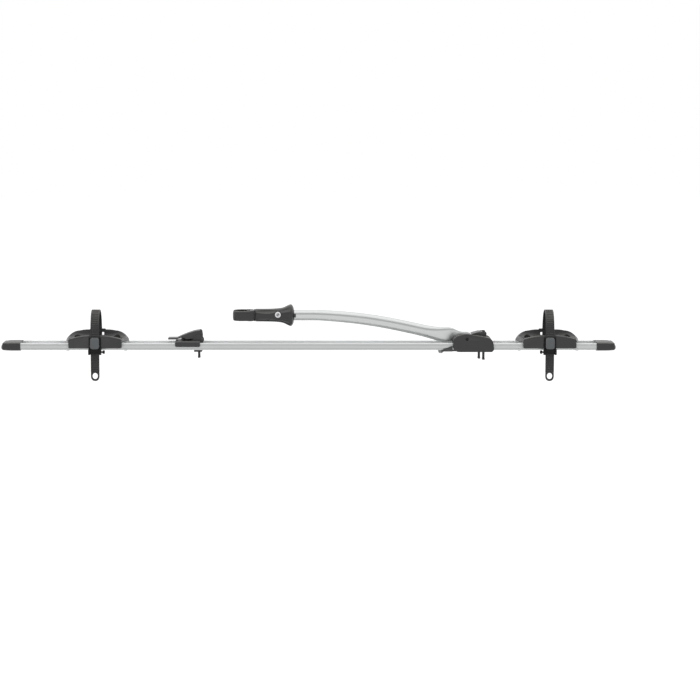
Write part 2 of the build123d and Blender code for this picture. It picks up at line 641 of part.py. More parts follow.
# Flanged plastic bushes, one from each side of the tongue
with BuildPart() as arm_bushes:
    for side in (-1, 1):
        with BuildSketch(across(side * (TONGUE_HALF + 1.5))):
            with Locations((PIVOT_X, PIVOT_Z)):
                Circle(PIVOT_RADIUS + 5)
                Circle(PIVOT_RADIUS + 0.05, mode=Mode.SUBTRACT)
        extrude(amount=side * 1.5)
        with BuildSketch(across(side * TONGUE_HALF)):
            with Locations((PIVOT_X, PIVOT_Z)):
                Circle(PIVOT_RADIUS + 1.6)
                Circle(PIVOT_RADIUS + 0.05, mode=Mode.SUBTRACT)
        extrude(amount=side * (TONGUE_HALF - 0.3))
arm_bushes.part.label = "arm_bushes"
export_step(arm_bushes.part, "parts/arm_bushes.step")


# Plug in the tube's mouth, with the key that stands out beside the knob
PLUG_BORE = CORE_RADIUS
with BuildPart() as tube_plug:
    with BuildSketch(along(ARM_HEAD_X, HEAD_Z)):
        Circle(TUBE_RADIUS - TUBE_WALL)
        Circle(PLUG_BORE, mode=Mode.SUBTRACT)
    extrude(amount=28)
    with BuildSketch(along(ARM_HEAD_X - 1.6, HEAD_Z)):
        Circle(TUBE_RADIUS)
        Circle(PLUG_BORE, mode=Mode.SUBTRACT)
    extrude(amount=1.6)
    for key_inner, key_length in ((12.0, 0.7), (TUBE_RADIUS + 0.1, 4.8)):
        with BuildSketch(along(ARM_HEAD_X - 0.7, HEAD_Z)):
            with Locations((-(key_inner + 15.2) / 2, 0)):
                Rectangle(15.2 - key_inner, 8.8)
        extrude(amount=key_length)
tube_plug.part.label = "tube_plug"
export_step(tube_plug.part, "parts/tube_plug.step")

# Slotted steel core on which the knob turns
CORE_FRONT_X = -548.1
CORE_LENGTH = 116.0
CROSS_PIN_RADIUS = 2.0
FOLLOWER_MIN_X = -516.0
FOLLOWER_LENGTH = 8.0
CROSS_PIN_X = FOLLOWER_MIN_X + FOLLOWER_LENGTH / 2
with BuildPart() as core_tube:
    with BuildSketch(along(CORE_FRONT_X, HEAD_Z)):
        Circle(CORE_RADIUS)
        Circle(CORE_BORE, mode=Mode.SUBTRACT)
    extrude(amount=CORE_LENGTH)
    with BuildSketch(across(CORE_RADIUS + 1)):
        with Locations((CROSS_PIN_X - DRAW_TRAVEL / 2, HEAD_Z)):
            SlotCenterToCenter(DRAW_TRAVEL + 0.6, 2 * CROSS_PIN_RADIUS + 0.3)
    extrude(amount=2 * CORE_RADIUS + 2, mode=Mode.SUBTRACT)
    # Four lock holes around the core
    for turn in range(4):
        lock_plane = Plane(
            origin=(LOCK_X, 0, HEAD_Z),
            x_dir=(1, 0, 0),
            z_dir=(0, cos(radians(90 * turn)), sin(radians(90 * turn))),
        )
        with BuildSketch(lock_plane):
            Circle(2.3)
        extrude(amount=CORE_RADIUS + 1, mode=Mode.SUBTRACT)
core_tube.part.label = "core_tube"
export_step(core_tube.part, "parts/core_tube.step")

# Knob: a trumpet-shaped grip with eight lens-shaped flutes
BODY_FLUTES = 8
FLUTE_RADIUS = 170.0
with BuildPart() as knob:
    with BuildSketch(Plane(origin=(0, 0, HEAD_Z), x_dir=(1, 0, 0), z_dir=(0, -1, 0))):
        with BuildLine():
            Polyline((-541, CORE_RADIUS + 0.08), (-541, 11.4), (KNOB_FRONT_X, 11.4), (KNOB_FRONT_X, 14.2))
            Polyline((KNOB_FRONT_X, 14.2), (-548, 15.4))
            Spline((-548, 15.4), (-505, 16.0), (-486, 17.8), (-474.7, 22.4), (-466, 26.2),
                   tangents=((1, 0.01), (1, 0.35)))
            ThreePointArc((-466, 26.2), (-462.4, 26.4), (-459.6, 24.6))
            ThreePointArc((-459.6, 24.6), (-456.4, 19.5), (KNOB_REAR_X, 16.4))
            Polyline((KNOB_REAR_X, 16.4), (-458.4, 14.5), (-458.4, CORE_RADIUS + 0.08))
            Polyline((-458.4, CORE_RADIUS + 0.08), (-541, CORE_RADIUS + 0.08))
        make_face()
    revolve(axis=Axis((0, 0, HEAD_Z), (1, 0, 0)))
    # Lens flutes: a large cylinder across each face of the grip
    for flute in range(BODY_FLUTES):
        turn = radians(360 / BODY_FLUTES * (flute + 0.5))
        out = (0, cos(turn), sin(turn))
        side = (0, -sin(turn), cos(turn))
        reach = 15.4 + FLUTE_RADIUS - 1.5
        centre = (-524, out[1] * reach, HEAD_Z + out[2] * reach)
        with BuildSketch(Plane(origin=centre, x_dir=(1, 0, 0), z_dir=side)):
            Circle(FLUTE_RADIUS)
        extrude(amount=8, both=True, mode=Mode.SUBTRACT)
    # Chamber for the threaded insert and the follower
    with BuildSketch(along(-541, HEAD_Z)):
        Circle(12.6)
    extrude(amount=37, mode=Mode.SUBTRACT)
    # Seat of the lock
    with BuildSketch(across(-30)):
        with Locations((LOCK_X, LOCK_Z)):
            Circle(8.4)
    extrude(amount=-18, mode=Mode.SUBTRACT)
    with BuildSketch(across(-12)):
        with Locations((LOCK_X, HEAD_Z)):
            Circle(2.1)
    extrude(amount=-5, mode=Mode.SUBTRACT)
knob.part.label = "knob"
export_step(knob.part, "parts/knob.step")

# Threaded insert in the knob: its coarse thread drives the follower
with BuildPart() as thread_insert:
    with BuildSketch(along(-541, HEAD_Z)):
        Circle(12.6)
        Circle(11.0, mode=Mode.SUBTRACT)
    extrude(amount=37)
thread_insert.part.label = "thread_insert"
export_step(thread_insert.part, "parts/thread_insert.step")

# Follower ring around the core, with its cross pin through the core's slots
with BuildPart() as draw_follower:
    with BuildSketch(along(FOLLOWER_MIN_X, HEAD_Z)):
        Circle(10.7)
        Circle(CORE_RADIUS + 0.15, mode=Mode.SUBTRACT)
    extrude(amount=FOLLOWER_LENGTH)
    with BuildSketch(across(12)):
        with Locations((CROSS_PIN_X, HEAD_Z)):
            Circle(CROSS_PIN_RADIUS)
    extrude(amount=24, mode=Mode.SUBTRACT)
draw_follower.part.label = "draw_follower"
export_step(draw_follower.part, "parts/draw_follower.step")

with BuildPart() as draw_cross_pin:
    with BuildSketch(across(10.2)):
        with Locations((CROSS_PIN_X, HEAD_Z)):
            Circle(CROSS_PIN_RADIUS)
    extrude(amount=20.4)
draw_cross_pin.part.label = "draw_cross_pin"
export_step(draw_cross_pin.part, "parts/draw_cross_pin.step")

# Draw rod with the fork that works the claws' tails
FORK_INNER = 6.4
FORK_OUTER = 9.2
FORK_HALF_WIDTH = 4.0
FORK_THROAT = 6.0
FORK_BACK = 8.2
DRAW_PIN_RADIUS = 2.0
with BuildPart() as draw_rod:
    with BuildSketch(along(DRAW_PIN_X + FORK_THROAT + 0.5, HEAD_Z)):
        Circle(ROD_RADIUS)
    extrude(amount=CROSS_PIN_X + 8 - DRAW_PIN_X - FORK_THROAT - 0.5)
    with BuildSketch(across(FORK_HALF_WIDTH)):
        with Locations((DRAW_PIN_X + (FORK_BACK - 4) / 2, HEAD_Z)):
            Rectangle(FORK_BACK + 4, 2 * FORK_OUTER)
        with Locations((DRAW_PIN_X + (FORK_THROAT - 4) / 2, HEAD_Z)):
            Rectangle(FORK_THROAT + 4, 2 * FORK_INNER, mode=Mode.SUBTRACT)
    extrude(amount=2 * FORK_HALF_WIDTH)
    with BuildSketch(level(HEAD_Z - 12)):
        with Locations((DRAW_PIN_X, 0)):
            Circle(DRAW_PIN_RADIUS)
    extrude(amount=24, mode=Mode.SUBTRACT)
    with BuildSketch(across(12)):
        with Locations((CROSS_PIN_X, HEAD_Z)):
            Circle(CROSS_PIN_RADIUS)
    extrude(amount=24, mode=Mode.SUBTRACT)
draw_rod.part.label = "draw_rod"
export_step(draw_rod.part, "parts/draw_rod.step")

with BuildPart() as draw_pin:
    with BuildSketch(level(HEAD_Z - FORK_OUTER)):
        with Locations((DRAW_PIN_X, 0)):
            Circle(DRAW_PIN_RADIUS)
    extrude(amount=2 * FORK_OUTER)
draw_pin.part.label = "draw_pin"
export_step(draw_pin.part, "parts/draw_pin.step")

# Carrier of the claws: two plates bridged by a round flange against the knob
HUB_HALF_HEIGHT = 9.6
HUB_RADIUS = 8.0
PLATE_NECK_HALF = 13.0
SLEEVE_RADIUS = 11.2
with BuildPart() as claw_carrier:
    for low in (HEAD_Z + HUB_HALF_HEIGHT + 0.3, HEAD_Z - CLAW_HALF_HEIGHT):
        with BuildSketch(level(low)):
            with Locations((CLAW_PIVOT_X, CLAW_PIVOT_Y), (CLAW_PIVOT_X, -CLAW_PIVOT_Y)):
                Circle(HUB_RADIUS)
            with Locations((-555.2, 0)):
                Rectangle(11.6, 2 * PLATE_NECK_HALF)
            with Locations((CLAW_PIVOT_X + 3, 0)):
                Rectangle(5, 2 * CLAW_PIVOT_Y)
        extrude(amount=CLAW_HALF_HEIGHT - HUB_HALF_HEIGHT - 0.3)
    with BuildSketch(along(-552, HEAD_Z)):
        Circle(14.9)
    extrude(amount=2.6)
    # Sleeve that grips the core inside the knob
    with BuildSketch(along(-549.4, HEAD_Z)):
        Circle(SLEEVE_RADIUS)
    extrude(amount=7.9)
    with BuildSketch(along(CORE_FRONT_X, HEAD_Z)):
        Circle(CORE_RADIUS)
    extrude(amount=20, mode=Mode.SUBTRACT)
    with BuildSketch(along(-553, HEAD_Z)):
        Rectangle(2 * FORK_HALF_WIDTH + 0.8, 2 * FORK_OUTER + 0.8)
    extrude(amount=CORE_FRONT_X + 553, mode=Mode.SUBTRACT)
    with BuildSketch(level(HEAD_Z - 20)):
        with Locations((CLAW_PIVOT_X, CLAW_PIVOT_Y), (CLAW_PIVOT_X, -CLAW_PIVOT_Y)):
            Circle(CLAW_PIN_RADIUS)
        with Locations((CLAW_CENTRE_X, 0)):
            Circle(PALM_RADIUS)
    extrude(amount=40, mode=Mode.SUBTRACT)
claw_carrier.part.label = "claw_carrier"
export_step(claw_carrier.part, "parts/claw_carrier.step")

with BuildPart() as claw_pins:
    with BuildSketch(level(HEAD_Z - CLAW_HALF_HEIGHT + 0.3)):
        with Locations((CLAW_PIVOT_X, CLAW_PIVOT_Y), (CLAW_PIVOT_X, -CLAW_PIVOT_Y)):
            Circle(CLAW_PIN_RADIUS)
    extrude(amount=2 * CLAW_HALF_HEIGHT - 0.6)
claw_pins.part.label = "claw_pins"
export_step(claw_pins.part, "parts/claw_pins.step")

# Claws: curved jaws that swing on their pins, each with a slotted tail on the draw pin
CLAW_TIP_ANGLE = 155.0
CLAW_ROOT_ANGLE = 52.0
TAIL_LOW = 0.3
TAIL_HIGH = 6.0
TAIL_ANGLE = CLAW_SWING / 2


def claw_point(radius, angle):
    """A point of the near claw's plan, round the centre of the gripped frame tube."""
    return (CLAW_CENTRE_X + radius * cos(radians(angle)), -radius * sin(radians(angle)))


with BuildPart() as claw_near:
    with BuildSketch(level(HEAD_Z - CLAW_HALF_HEIGHT)):
        with BuildLine():
            ThreePointArc(claw_point(CLAW_INNER, CLAW_ROOT_ANGLE), claw_point(CLAW_INNER, 100),
                          claw_point(CLAW_INNER, CLAW_TIP_ANGLE))
            ThreePointArc(claw_point(CLAW_INNER, CLAW_TIP_ANGLE), claw_point(23.5, CLAW_TIP_ANGLE + 6),
                          claw_point(26.5, CLAW_TIP_ANGLE - 4))
            ThreePointArc(claw_point(26.5, CLAW_TIP_ANGLE - 4), claw_point(CLAW_OUTER, 110),
                          claw_point(CLAW_OUTER + 1, 62))
            Polyline(claw_point(CLAW_OUTER + 1, 62), (-554.2, -23.6), (-555, -21.5))
            Polyline((-555, -21.5), claw_point(CLAW_INNER, CLAW_ROOT_ANGLE))
        make_face()
    extrude(amount=2 * CLAW_HALF_HEIGHT)
    with BuildSketch(level(HEAD_Z - HUB_HALF_HEIGHT)):
        with Locations((CLAW_PIVOT_X, -CLAW_PIVOT_Y)):
            Circle(HUB_RADIUS)
    extrude(amount=2 * HUB_HALF_HEIGHT)
    # Room for the carrier's plates over and under the hub
    for low in (HEAD_Z + HUB_HALF_HEIGHT, HEAD_Z - CLAW_HALF_HEIGHT - 1):
        with BuildSketch(level(low)):
            with Locations((CLAW_PIVOT_X, -CLAW_PIVOT_Y)):
                Circle(HUB_RADIUS + 0.5)
        extrude(amount=CLAW_HALF_HEIGHT - HUB_HALF_HEIGHT + 1, mode=Mode.SUBTRACT)
    tail_plane = Plane(
        origin=(CLAW_PIVOT_X, -CLAW_PIVOT_Y, HEAD_Z + TAIL_LOW),
        x_dir=(sin(radians(TAIL_ANGLE)), cos(radians(TAIL_ANGLE)), 0),
        z_dir=(0, 0, 1),
    )
    with BuildSketch(tail_plane):
        with Locations((7.9, 0)):
            SlotOverall(24.2, 8)
    extrude(amount=TAIL_HIGH - TAIL_LOW)
    with BuildSketch(tail_plane):
        with Locations((CLAW_PIVOT_Y * (1 + 1 / cos(radians(TAIL_ANGLE))) / 2, 0)):
            SlotCenterToCenter(1.5, 2 * DRAW_PIN_RADIUS + 0.5)
    extrude(amount=TAIL_HIGH - TAIL_LOW, mode=Mode.SUBTRACT)
    with BuildSketch(level(HEAD_Z - 20)):
        with Locations((CLAW_PIVOT_X, -CLAW_PIVOT_Y)):
            Circle(CLAW_PIN_RADIUS + 0.05)
        with Locations((CLAW_CENTRE_X, 0)):
            Circle(PALM_RADIUS)
    extrude(amount=40, mode=Mode.SUBTRACT)
claw_near.part.label = "claw_near"
export_step(claw_near.part, "parts/claw_near.step")

claw_far = claw_near.part.rotate(Axis((0, 0, HEAD_Z), (1, 0, 0)), 180)
claw_far.label = "claw_far"
export_step(claw_far, "parts/claw_far.step")

# Rubber pads lining the claws
PAD_INNER = 16.6
with BuildPart() as claw_pad_near:
    with BuildSketch(level(HEAD_Z - CLAW_HALF_HEIGHT + 1.2)):
        with BuildLine():
            ThreePointArc(claw_point(CLAW_INNER, 62), claw_point(CLAW_INNER, 100), claw_point(CLAW_INNER, 152))
            Polyline(claw_point(CLAW_INNER, 152), claw_point(PAD_INNER, 148))
            ThreePointArc(claw_point(PAD_INNER, 148), claw_point(PAD_INNER, 100), claw_point(PAD_INNER, 66))
            Polyline(claw_point(PAD_INNER, 66), claw_point(CLAW_INNER, 62))
        make_face()
    extrude(amount=2 * CLAW_HALF_HEIGHT - 2.4)
claw_pad_near.part.label = "claw_pad_near"
export_step(claw_pad_near.part, "parts/claw_pad_near.step")

claw_pad_far = claw_pad_near.part.rotate(Axis((0, 0, HEAD_Z), (1, 0, 0)), 180)
claw_pad_far.label = "claw_pad_far"
export_step(claw_pad_far, "parts/claw_pad_far.step")

# Lock in the knob's side: sleeve, key cylinder and the bolt that drops into the core
LOCK_FACE_Y = -18.4
with BuildPart() as lock_sleeve:
    with BuildSketch(across(LOCK_FACE_Y)):
        with Locations((LOCK_X, LOCK_Z)):
            Circle(8.4)
            Circle(7.2, mode=Mode.SUBTRACT)
    extrude(amount=-6.2)
lock_sleeve.part.label = "lock_sleeve"
export_step(lock_sleeve.part, "parts/lock_sleeve.step")

with BuildPart() as lock_cylinder:
    with BuildSketch(across(LOCK_FACE_Y - 0.5)):
        with Locations((LOCK_X, LOCK_Z)):
            Circle(7.15)
    extrude(amount=-6.3)
    chamfer(lock_cylinder.edges().filter_by(GeomType.CIRCLE).sort_by(Axis.Y)[0], 0.6)
    with BuildSketch(across(LOCK_FACE_Y - 1)):
        with Locations((LOCK_X, LOCK_Z)):
            SlotOverall(7.5, 1.4, rotation=45)
    extrude(amount=-5, mode=Mode.SUBTRACT)
lock_cylinder.part.label = "lock_cylinder"
export_step(lock_cylinder.part, "parts/lock_cylinder.step")

with BuildPart() as lock_bolt:
    with BuildSketch(across(-11.4)):
        with Locations((LOCK_X, HEAD_Z)):
            Circle(2.0)
    extrude(amount=-3.2)
lock_bolt.part.label = "lock_bolt"
export_step(lock_bolt.part, "parts/lock_bolt.step")


# Wheel holder, built about x = 0 and then placed at the rear and, mirrored, at the front
# The cradle: a boat-shaped moulding over the tray with a tall far wall and a lower near wall
NOTCH_HALF = 14.7
WINDOW_HALF = 15.6
BOSS_HALF = 18.0
STRAP_SLOT_HALF_Y = 2.0
with BuildSketch(across(CRADLE_Y)) as side_outline:
    with BuildLine():
        Polyline((-FAR_HALF_LENGTH, 8), (-FAR_HALF_LENGTH, 24))
        ThreePointArc((-FAR_HALF_LENGTH, 24), (-66, 37), (-44, 45.6))
        ThreePointArc((-44, 45.6), (-32, 47.6), (-BOSS_HALF - 2, FAR_RIM_Z))
        Polyline((-BOSS_HALF - 2, FAR_RIM_Z), (-BOSS_HALF, 50.4), (BOSS_HALF, 50.4))
        Polyline((BOSS_HALF, 50.4), (BOSS_HALF + 2, FAR_RIM_Z))
        ThreePointArc((BOSS_HALF + 2, FAR_RIM_Z), (32, 47.6), (44, 45.6))
        ThreePointArc((44, 45.6), (66, 37), (FAR_HALF_LENGTH, 24))
        Polyline((FAR_HALF_LENGTH, 24), (FAR_HALF_LENGTH, 8), (-FAR_HALF_LENGTH, 8))
    make_face()

with BuildPart() as cradle:
    extrude(side_outline.sketch, amount=14)
    with BuildSketch(across(-25)):
        with BuildLine():
            Polyline((-NEAR_HALF_LENGTH, NEAR_SKIRT_Z), (-NEAR_HALF_LENGTH, NEAR_END_Z))
            ThreePointArc((-NEAR_HALF_LENGTH, NEAR_END_Z), (0, NEAR_RIM_Z), (NEAR_HALF_LENGTH, NEAR_END_Z))
            Polyline((NEAR_HALF_LENGTH, NEAR_END_Z), (NEAR_HALF_LENGTH, NEAR_SKIRT_Z))
            Polyline((NEAR_HALF_LENGTH, NEAR_SKIRT_Z), (-NEAR_HALF_LENGTH, NEAR_SKIRT_Z))
        make_face()
        fillet(vertices().group_by(Axis.Y)[0], 3)
    extrude(amount=14)
    # Floor between the walls, boat-shaped in plan
    with BuildSketch(level(TRAY_TOP + CLEARANCE)):
        with BuildLine():
            Polyline((-FAR_HALF_LENGTH, 26), (FAR_HALF_LENGTH, 26), (NEAR_HALF_LENGTH, -26))
            Polyline((NEAR_HALF_LENGTH, -26), (-NEAR_HALF_LENGTH, -26), (-FAR_HALF_LENGTH, 26))
        make_face()
    extrude(amount=12)
    # Its ends follow the far wall's side outline
    extrude(side_outline.sketch, amount=2 * CRADLE_Y, mode=Mode.INTERSECT)
    # Rounded near shoulder
    near_top = cradle.edges().filter_by(lambda edge: edge.center().Z > 34 and edge.center().Y < -38.9)
    fillet(near_top, 4)
    # The tray runs through
    with BuildSketch(along(-90)):
        with Locations((0, (TRAY_TOP + CLEARANCE) / 2)):
            Rectangle(TRAY_WIDTH + 2 * CLEARANCE, TRAY_TOP + CLEARANCE)
    extrude(amount=180, mode=Mode.SUBTRACT)
    # Tyre trough: the tyre's section turned about the wheel's axle
    with BuildSketch(along(0, TROUGH_FLOOR_Z)):
        with BuildLine():
            Polyline((-36, 40), (-34, 15))
            ThreePointArc((-34, 15), (-24, 2.6), (-11, 0))
            Polyline((-11, 0), (11, 0))
            ThreePointArc((11, 0), (24, 2.6), (34, 15))
            Polyline((34, 15), (36, 40), (-36, 40))
        make_face()
    revolve(axis=Axis((0, 0, TROUGH_FLOOR_Z + WHEEL_RADIUS), (0, 1, 0)), revolution_arc=360, mode=Mode.SUBTRACT)
    # Crescent pockets through the floor on each side of the strap
    with BuildSketch(level(TRAY_TOP)):
        with Locations((-47.5, 7), (47.5, 7)):
            SlotOverall(46, 17, rotation=90)
    extrude(amount=20, mode=Mode.SUBTRACT)
    # Notch for the buckle and the strap in the near wall
    with BuildSketch(across(-35.2)):
        with Locations((0, 25)):
            Rectangle(2 * NOTCH_HALF, 60)
    extrude(amount=10, mode=Mode.SUBTRACT)
    # Slot for the strap in the far wall, and the window beside it
    with BuildSketch(level(20)):
        with Locations((0, STRAP_FAR_Y)):
            Rectangle(STRAP_WIDTH + 1, 2 * STRAP_SLOT_HALF_Y)
    extrude(amount=40, mode=Mode.SUBTRACT)
    with BuildSketch(across(45)):
        with Locations((0, 38.3)):
            RectangleRounded(2 * WINDOW_HALF, 7.2, 1.5)
    extrude(amount=20, mode=Mode.SUBTRACT)
    # Bore of the strap's anchor pin
    with BuildSketch(along(-18)):
        with Locations((STRAP_FAR_Y, ANCHOR_Z)):
            Circle(ANCHOR_RADIUS)
    extrude(amount=36, mode=Mode.SUBTRACT)

# Cross strips under the tray that hold the cradle down
with BuildPart() as keepers:
    for x in (-66.6, 73.0):
        with BuildSketch(along(x - 3, TRAY_BOTTOM)):
            with BuildLine():
                Polyline((38.6, 3), (38.6, -1.3), (-29, -1.3), (-30.8, 0.6), (-30.8, 3.4), (-30.2, 3.4))
                Polyline((-30.2, 3.4), (-29.9, 1.6), (-28.4, -0.1), (30.4, -0.1), (30.4, 3), (38.6, 3))
            make_face()
        extrude(amount=6)

# Ladder strap: an arch over the wheel, down through the buckle, with a finger loop at its tail
with BuildPart() as strap:
    ARCH_CENTRE_Y = (STRAP_NEAR_Y + STRAP_FAR_Y) / 2
    ARCH_HALF = (STRAP_FAR_Y - STRAP_NEAR_Y) / 2
    ARCH_RISE = STRAP_TOP_Z - STRAP_SPRING_Z
    HALF_THICK = STRAP_THICKNESS / 2
    with BuildSketch(along(-STRAP_WIDTH / 2, STRAP_SPRING_Z)):
        with Locations((ARCH_CENTRE_Y, 0)):
            Ellipse(ARCH_HALF + HALF_THICK, ARCH_RISE + HALF_THICK)
            Ellipse(ARCH_HALF - HALF_THICK, ARCH_RISE - HALF_THICK, mode=Mode.SUBTRACT)
        with Locations((ARCH_CENTRE_Y, -50)):
            Rectangle(100, 100, mode=Mode.SUBTRACT)
        for y, low in ((STRAP_NEAR_Y, STRAP_TAIL_Z), (STRAP_FAR_Y, ANCHOR_Z - 4)):
            with Locations((y, (low - STRAP_SPRING_Z) / 2)):
                Rectangle(STRAP_THICKNESS, STRAP_SPRING_Z - low)
    extrude(amount=STRAP_WIDTH)
    tail_corners = strap.edges().filter_by(Axis.Y).group_by(Axis.Z)[0]
    fillet(tail_corners, 10.2)
    with BuildSketch(across(STRAP_NEAR_Y + 3)):
        with Locations((0, -56.4)):
            RectangleRounded(12.6, 14.7, 6.2)
    extrude(amount=6, mode=Mode.SUBTRACT)
    # Ladder steps on the outer face of the near strand
    with BuildSketch(across(STRAP_NEAR_Y - HALF_THICK + 0.9)):
        for step in range(11):
            with Locations((0, -45.5 + STRAP_PITCH * step)):
                Rectangle(15, 2.4)
    extrude(amount=2, mode=Mode.SUBTRACT)
    with BuildSketch(along(-STRAP_WIDTH)):
        with Locations((STRAP_FAR_Y, ANCHOR_Z)):
            Circle(ANCHOR_RADIUS)
    extrude(amount=2 * STRAP_WIDTH, mode=Mode.SUBTRACT)

with BuildPart() as strap_anchor_pin:
    with BuildSketch(along(-17)):
        with Locations((STRAP_FAR_Y, ANCHOR_Z)):
            Circle(ANCHOR_RADIUS)
    extrude(amount=34)

# Buckle frame: a back plate with two cheeks and a broad foot around the shaft
BACK_PLATE_Y = -35.3
FRAME_FRONT_Y = -49.5
with BuildPart() as buckle_frame:
    with BuildSketch(across(BACK_PLATE_Y)):
        with Locations((0, 20.6)):
            Rectangle(2 * BUCKLE_HALF_WIDTH, 32)
        with Locations((0, 2)):
            RectangleRounded(31, 13.7, 2)
    extrude(amount=1.5)
    for inner in (-BUCKLE_HALF_WIDTH, LEVER_HALF_WIDTH + 0.5):
        with BuildSketch(along(inner)):
            with BuildLine():
                Polyline((BACK_PLATE_Y, 36.6), (-40, 36.6), (-44.5, 26), (-46, 8), (BACK_PLATE_Y, 8))
                Polyline((BACK_PLATE_Y, 8), (BACK_PLATE_Y, 36.6))
            make_face()
        extrude(amount=BUCKLE_HALF_WIDTH - LEVER_HALF_WIDTH - 0.5)
    for inner in (-15.5, LEVER_HALF_WIDTH + 0.5):
        with BuildSketch(along(inner)):
            with BuildLine():
                Polyline((BACK_PLATE_Y, 8.8), (-46, 8.8))
                ThreePointArc((-46, 8.8), (FRAME_FRONT_Y, 2.2), (-46, -4.8))
                Polyline((-46, -4.8), (BACK_PLATE_Y, -4.8), (BACK_PLATE_Y, 8.8))
            make_face()
        extrude(amount=15.5 - LEVER_HALF_WIDTH - 0.5)
    with BuildSketch(along(-20)):
        with Locations((SHAFT_Y, SHAFT_Z)):
            Circle(SHAFT_RADIUS)
        with Locations((PAWL_Y, PAWL_Z)):
            Circle(1.0)
    extrude(amount=40, mode=Mode.SUBTRACT)

# Shaft with the round release knob on its inboard end
with BuildPart() as buckle_shaft:
    with BuildSketch(along(-15.4)):
        with Locations((SHAFT_Y, SHAFT_Z)):
            Circle(SHAFT_RADIUS)
    extrude(amount=36)
    with BuildSketch(along(19.2)):
        with Locations((SHAFT_Y, SHAFT_Z)):
            Circle(4.2)
    extrude(amount=5.2)
    chamfer(buckle_shaft.edges().filter_by(GeomType.CIRCLE).sort_by(Axis.X)[-1], 0.8)

# Toothed hub that drives the strap, and the lever that turns it
with BuildPart() as buckle_hub:
    with BuildSketch(along(-LEVER_HALF_WIDTH)):
        with Locations((SHAFT_Y, SHAFT_Z)):
            Circle(4.0)
            with PolarLocations(3.6, 7, start_angle=100, angular_range=210):
                RegularPolygon(1.0, 3)
        with BuildLine():
            Polyline((-48.6, 0), (-48.8, 8.8), (-42.6, 8.8), (-41.2, 4), (-48.6, 0))
        make_face()
        with Locations((SHAFT_Y, SHAFT_Z)):
            Circle(SHAFT_RADIUS + 0.05, mode=Mode.SUBTRACT)
    extrude(amount=2 * LEVER_HALF_WIDTH)

with BuildPart() as buckle_lever:
    with BuildSketch(along(-LEVER_HALF_WIDTH)):
        with BuildLine():
            Polyline((-48.8, 8.8), (-48.4, 22))
            ThreePointArc((-48.4, 22), (-47.2, 31), (-43.6, 36.4))
            Polyline((-43.6, 36.4), (-42, 34.8))
            ThreePointArc((-42, 34.8), (-45, 29), (-45.9, 22))
            Polyline((-45.9, 22), (-45, 12.5), (-42.6, 8.8), (-48.8, 8.8))
        make_face()
    extrude(amount=2 * LEVER_HALF_WIDTH)

# Spring-loaded pawl that holds the strap between strokes
with BuildPart() as buckle_pawl:
    with BuildSketch(along(-8)):
        with Locations((PAWL_Y, PAWL_Z)):
            Circle(1.7)
        with BuildLine():
            Polyline((-44.2, 15.6), (-41.6, 12.6), (-40.2, 13.4), (-41.8, 17.6), (-44.2, 15.6))
        make_face()
        with Locations((PAWL_Y, PAWL_Z)):
            Circle(1.05, mode=Mode.SUBTRACT)
    extrude(amount=16)

with BuildPart() as pawl_pin:
    with BuildSketch(along(-14)):
        with Locations((PAWL_Y, PAWL_Z)):
            Circle(1.0)
    extrude(amount=28)

HOLDER_PIECES = {
    "cradle": cradle,
    "keepers": keepers,
    "strap": strap,
    "strap_anchor_pin": strap_anchor_pin,
    "buckle_frame": buckle_frame,
    "buckle_shaft": buckle_shaft,
    "buckle_hub": buckle_hub,
    "buckle_lever": buckle_lever,
    "buckle_pawl": buckle_pawl,
    "pawl_pin": pawl_pin,
}
for name, piece in HOLDER_PIECES.items():
    rear = piece.part.moved(Location((REAR_HOLDER_X, 0, 0)))
    rear.label = f"{name}_rear"
    export_step(rear, f"parts/{name}_rear.step")
    front = mirror(piece.part, about=Plane.YZ).moved(Location((FRONT_HOLDER_X, 0, 0)))
    front.label = f"{name}_front"
    export_step(front, f"parts/{name}_front.step")
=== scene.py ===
import math

import bmesh
import bpy
import numpy as np
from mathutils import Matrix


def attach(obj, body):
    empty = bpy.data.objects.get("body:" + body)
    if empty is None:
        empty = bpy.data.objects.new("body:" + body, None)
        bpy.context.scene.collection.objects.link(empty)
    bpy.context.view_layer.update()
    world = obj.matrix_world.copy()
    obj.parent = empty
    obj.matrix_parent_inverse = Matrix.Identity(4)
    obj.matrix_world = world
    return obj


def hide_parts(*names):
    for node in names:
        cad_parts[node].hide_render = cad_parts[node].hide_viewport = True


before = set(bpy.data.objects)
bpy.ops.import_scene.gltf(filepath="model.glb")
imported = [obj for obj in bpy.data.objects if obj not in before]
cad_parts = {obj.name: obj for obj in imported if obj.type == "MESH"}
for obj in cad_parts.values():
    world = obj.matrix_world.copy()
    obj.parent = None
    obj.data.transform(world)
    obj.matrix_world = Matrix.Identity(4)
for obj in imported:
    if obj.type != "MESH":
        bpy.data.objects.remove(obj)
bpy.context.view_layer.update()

scene = bpy.context.scene
scene.view_settings.view_transform = "Standard"

# Camera: level with the load, five metres to the near side and seven degrees up,
# with the carrier a little off the lens axis as in the picture.
VIEW_DISTANCE = 5.0
VIEW_ELEVATION = math.radians(7.0)
VIEW_AIM = (-0.420, 0.0, 0.0018)
SENSOR_WIDTH_MM = 36.0
LENS_MM = 105.82
PICTURE_WIDTH = 700
OFF_AXIS_PIXELS = 41.5
FARTHEST_SEEN = 60.0
camera_data = bpy.data.cameras.new("camera")
camera_data.sensor_width = SENSOR_WIDTH_MM
camera_data.lens = LENS_MM
camera_data.shift_x = OFF_AXIS_PIXELS / PICTURE_WIDTH
camera_data.clip_end = FARTHEST_SEEN
camera = bpy.data.objects.new("camera", camera_data)
camera.location = (
    VIEW_AIM[0],
    VIEW_AIM[1] - VIEW_DISTANCE * math.cos(VIEW_ELEVATION),
    VIEW_AIM[2] + VIEW_DISTANCE * math.sin(VIEW_ELEVATION),
)
camera.rotation_euler = (math.radians(90.0) - VIEW_ELEVATION, 0.0, 0.0)
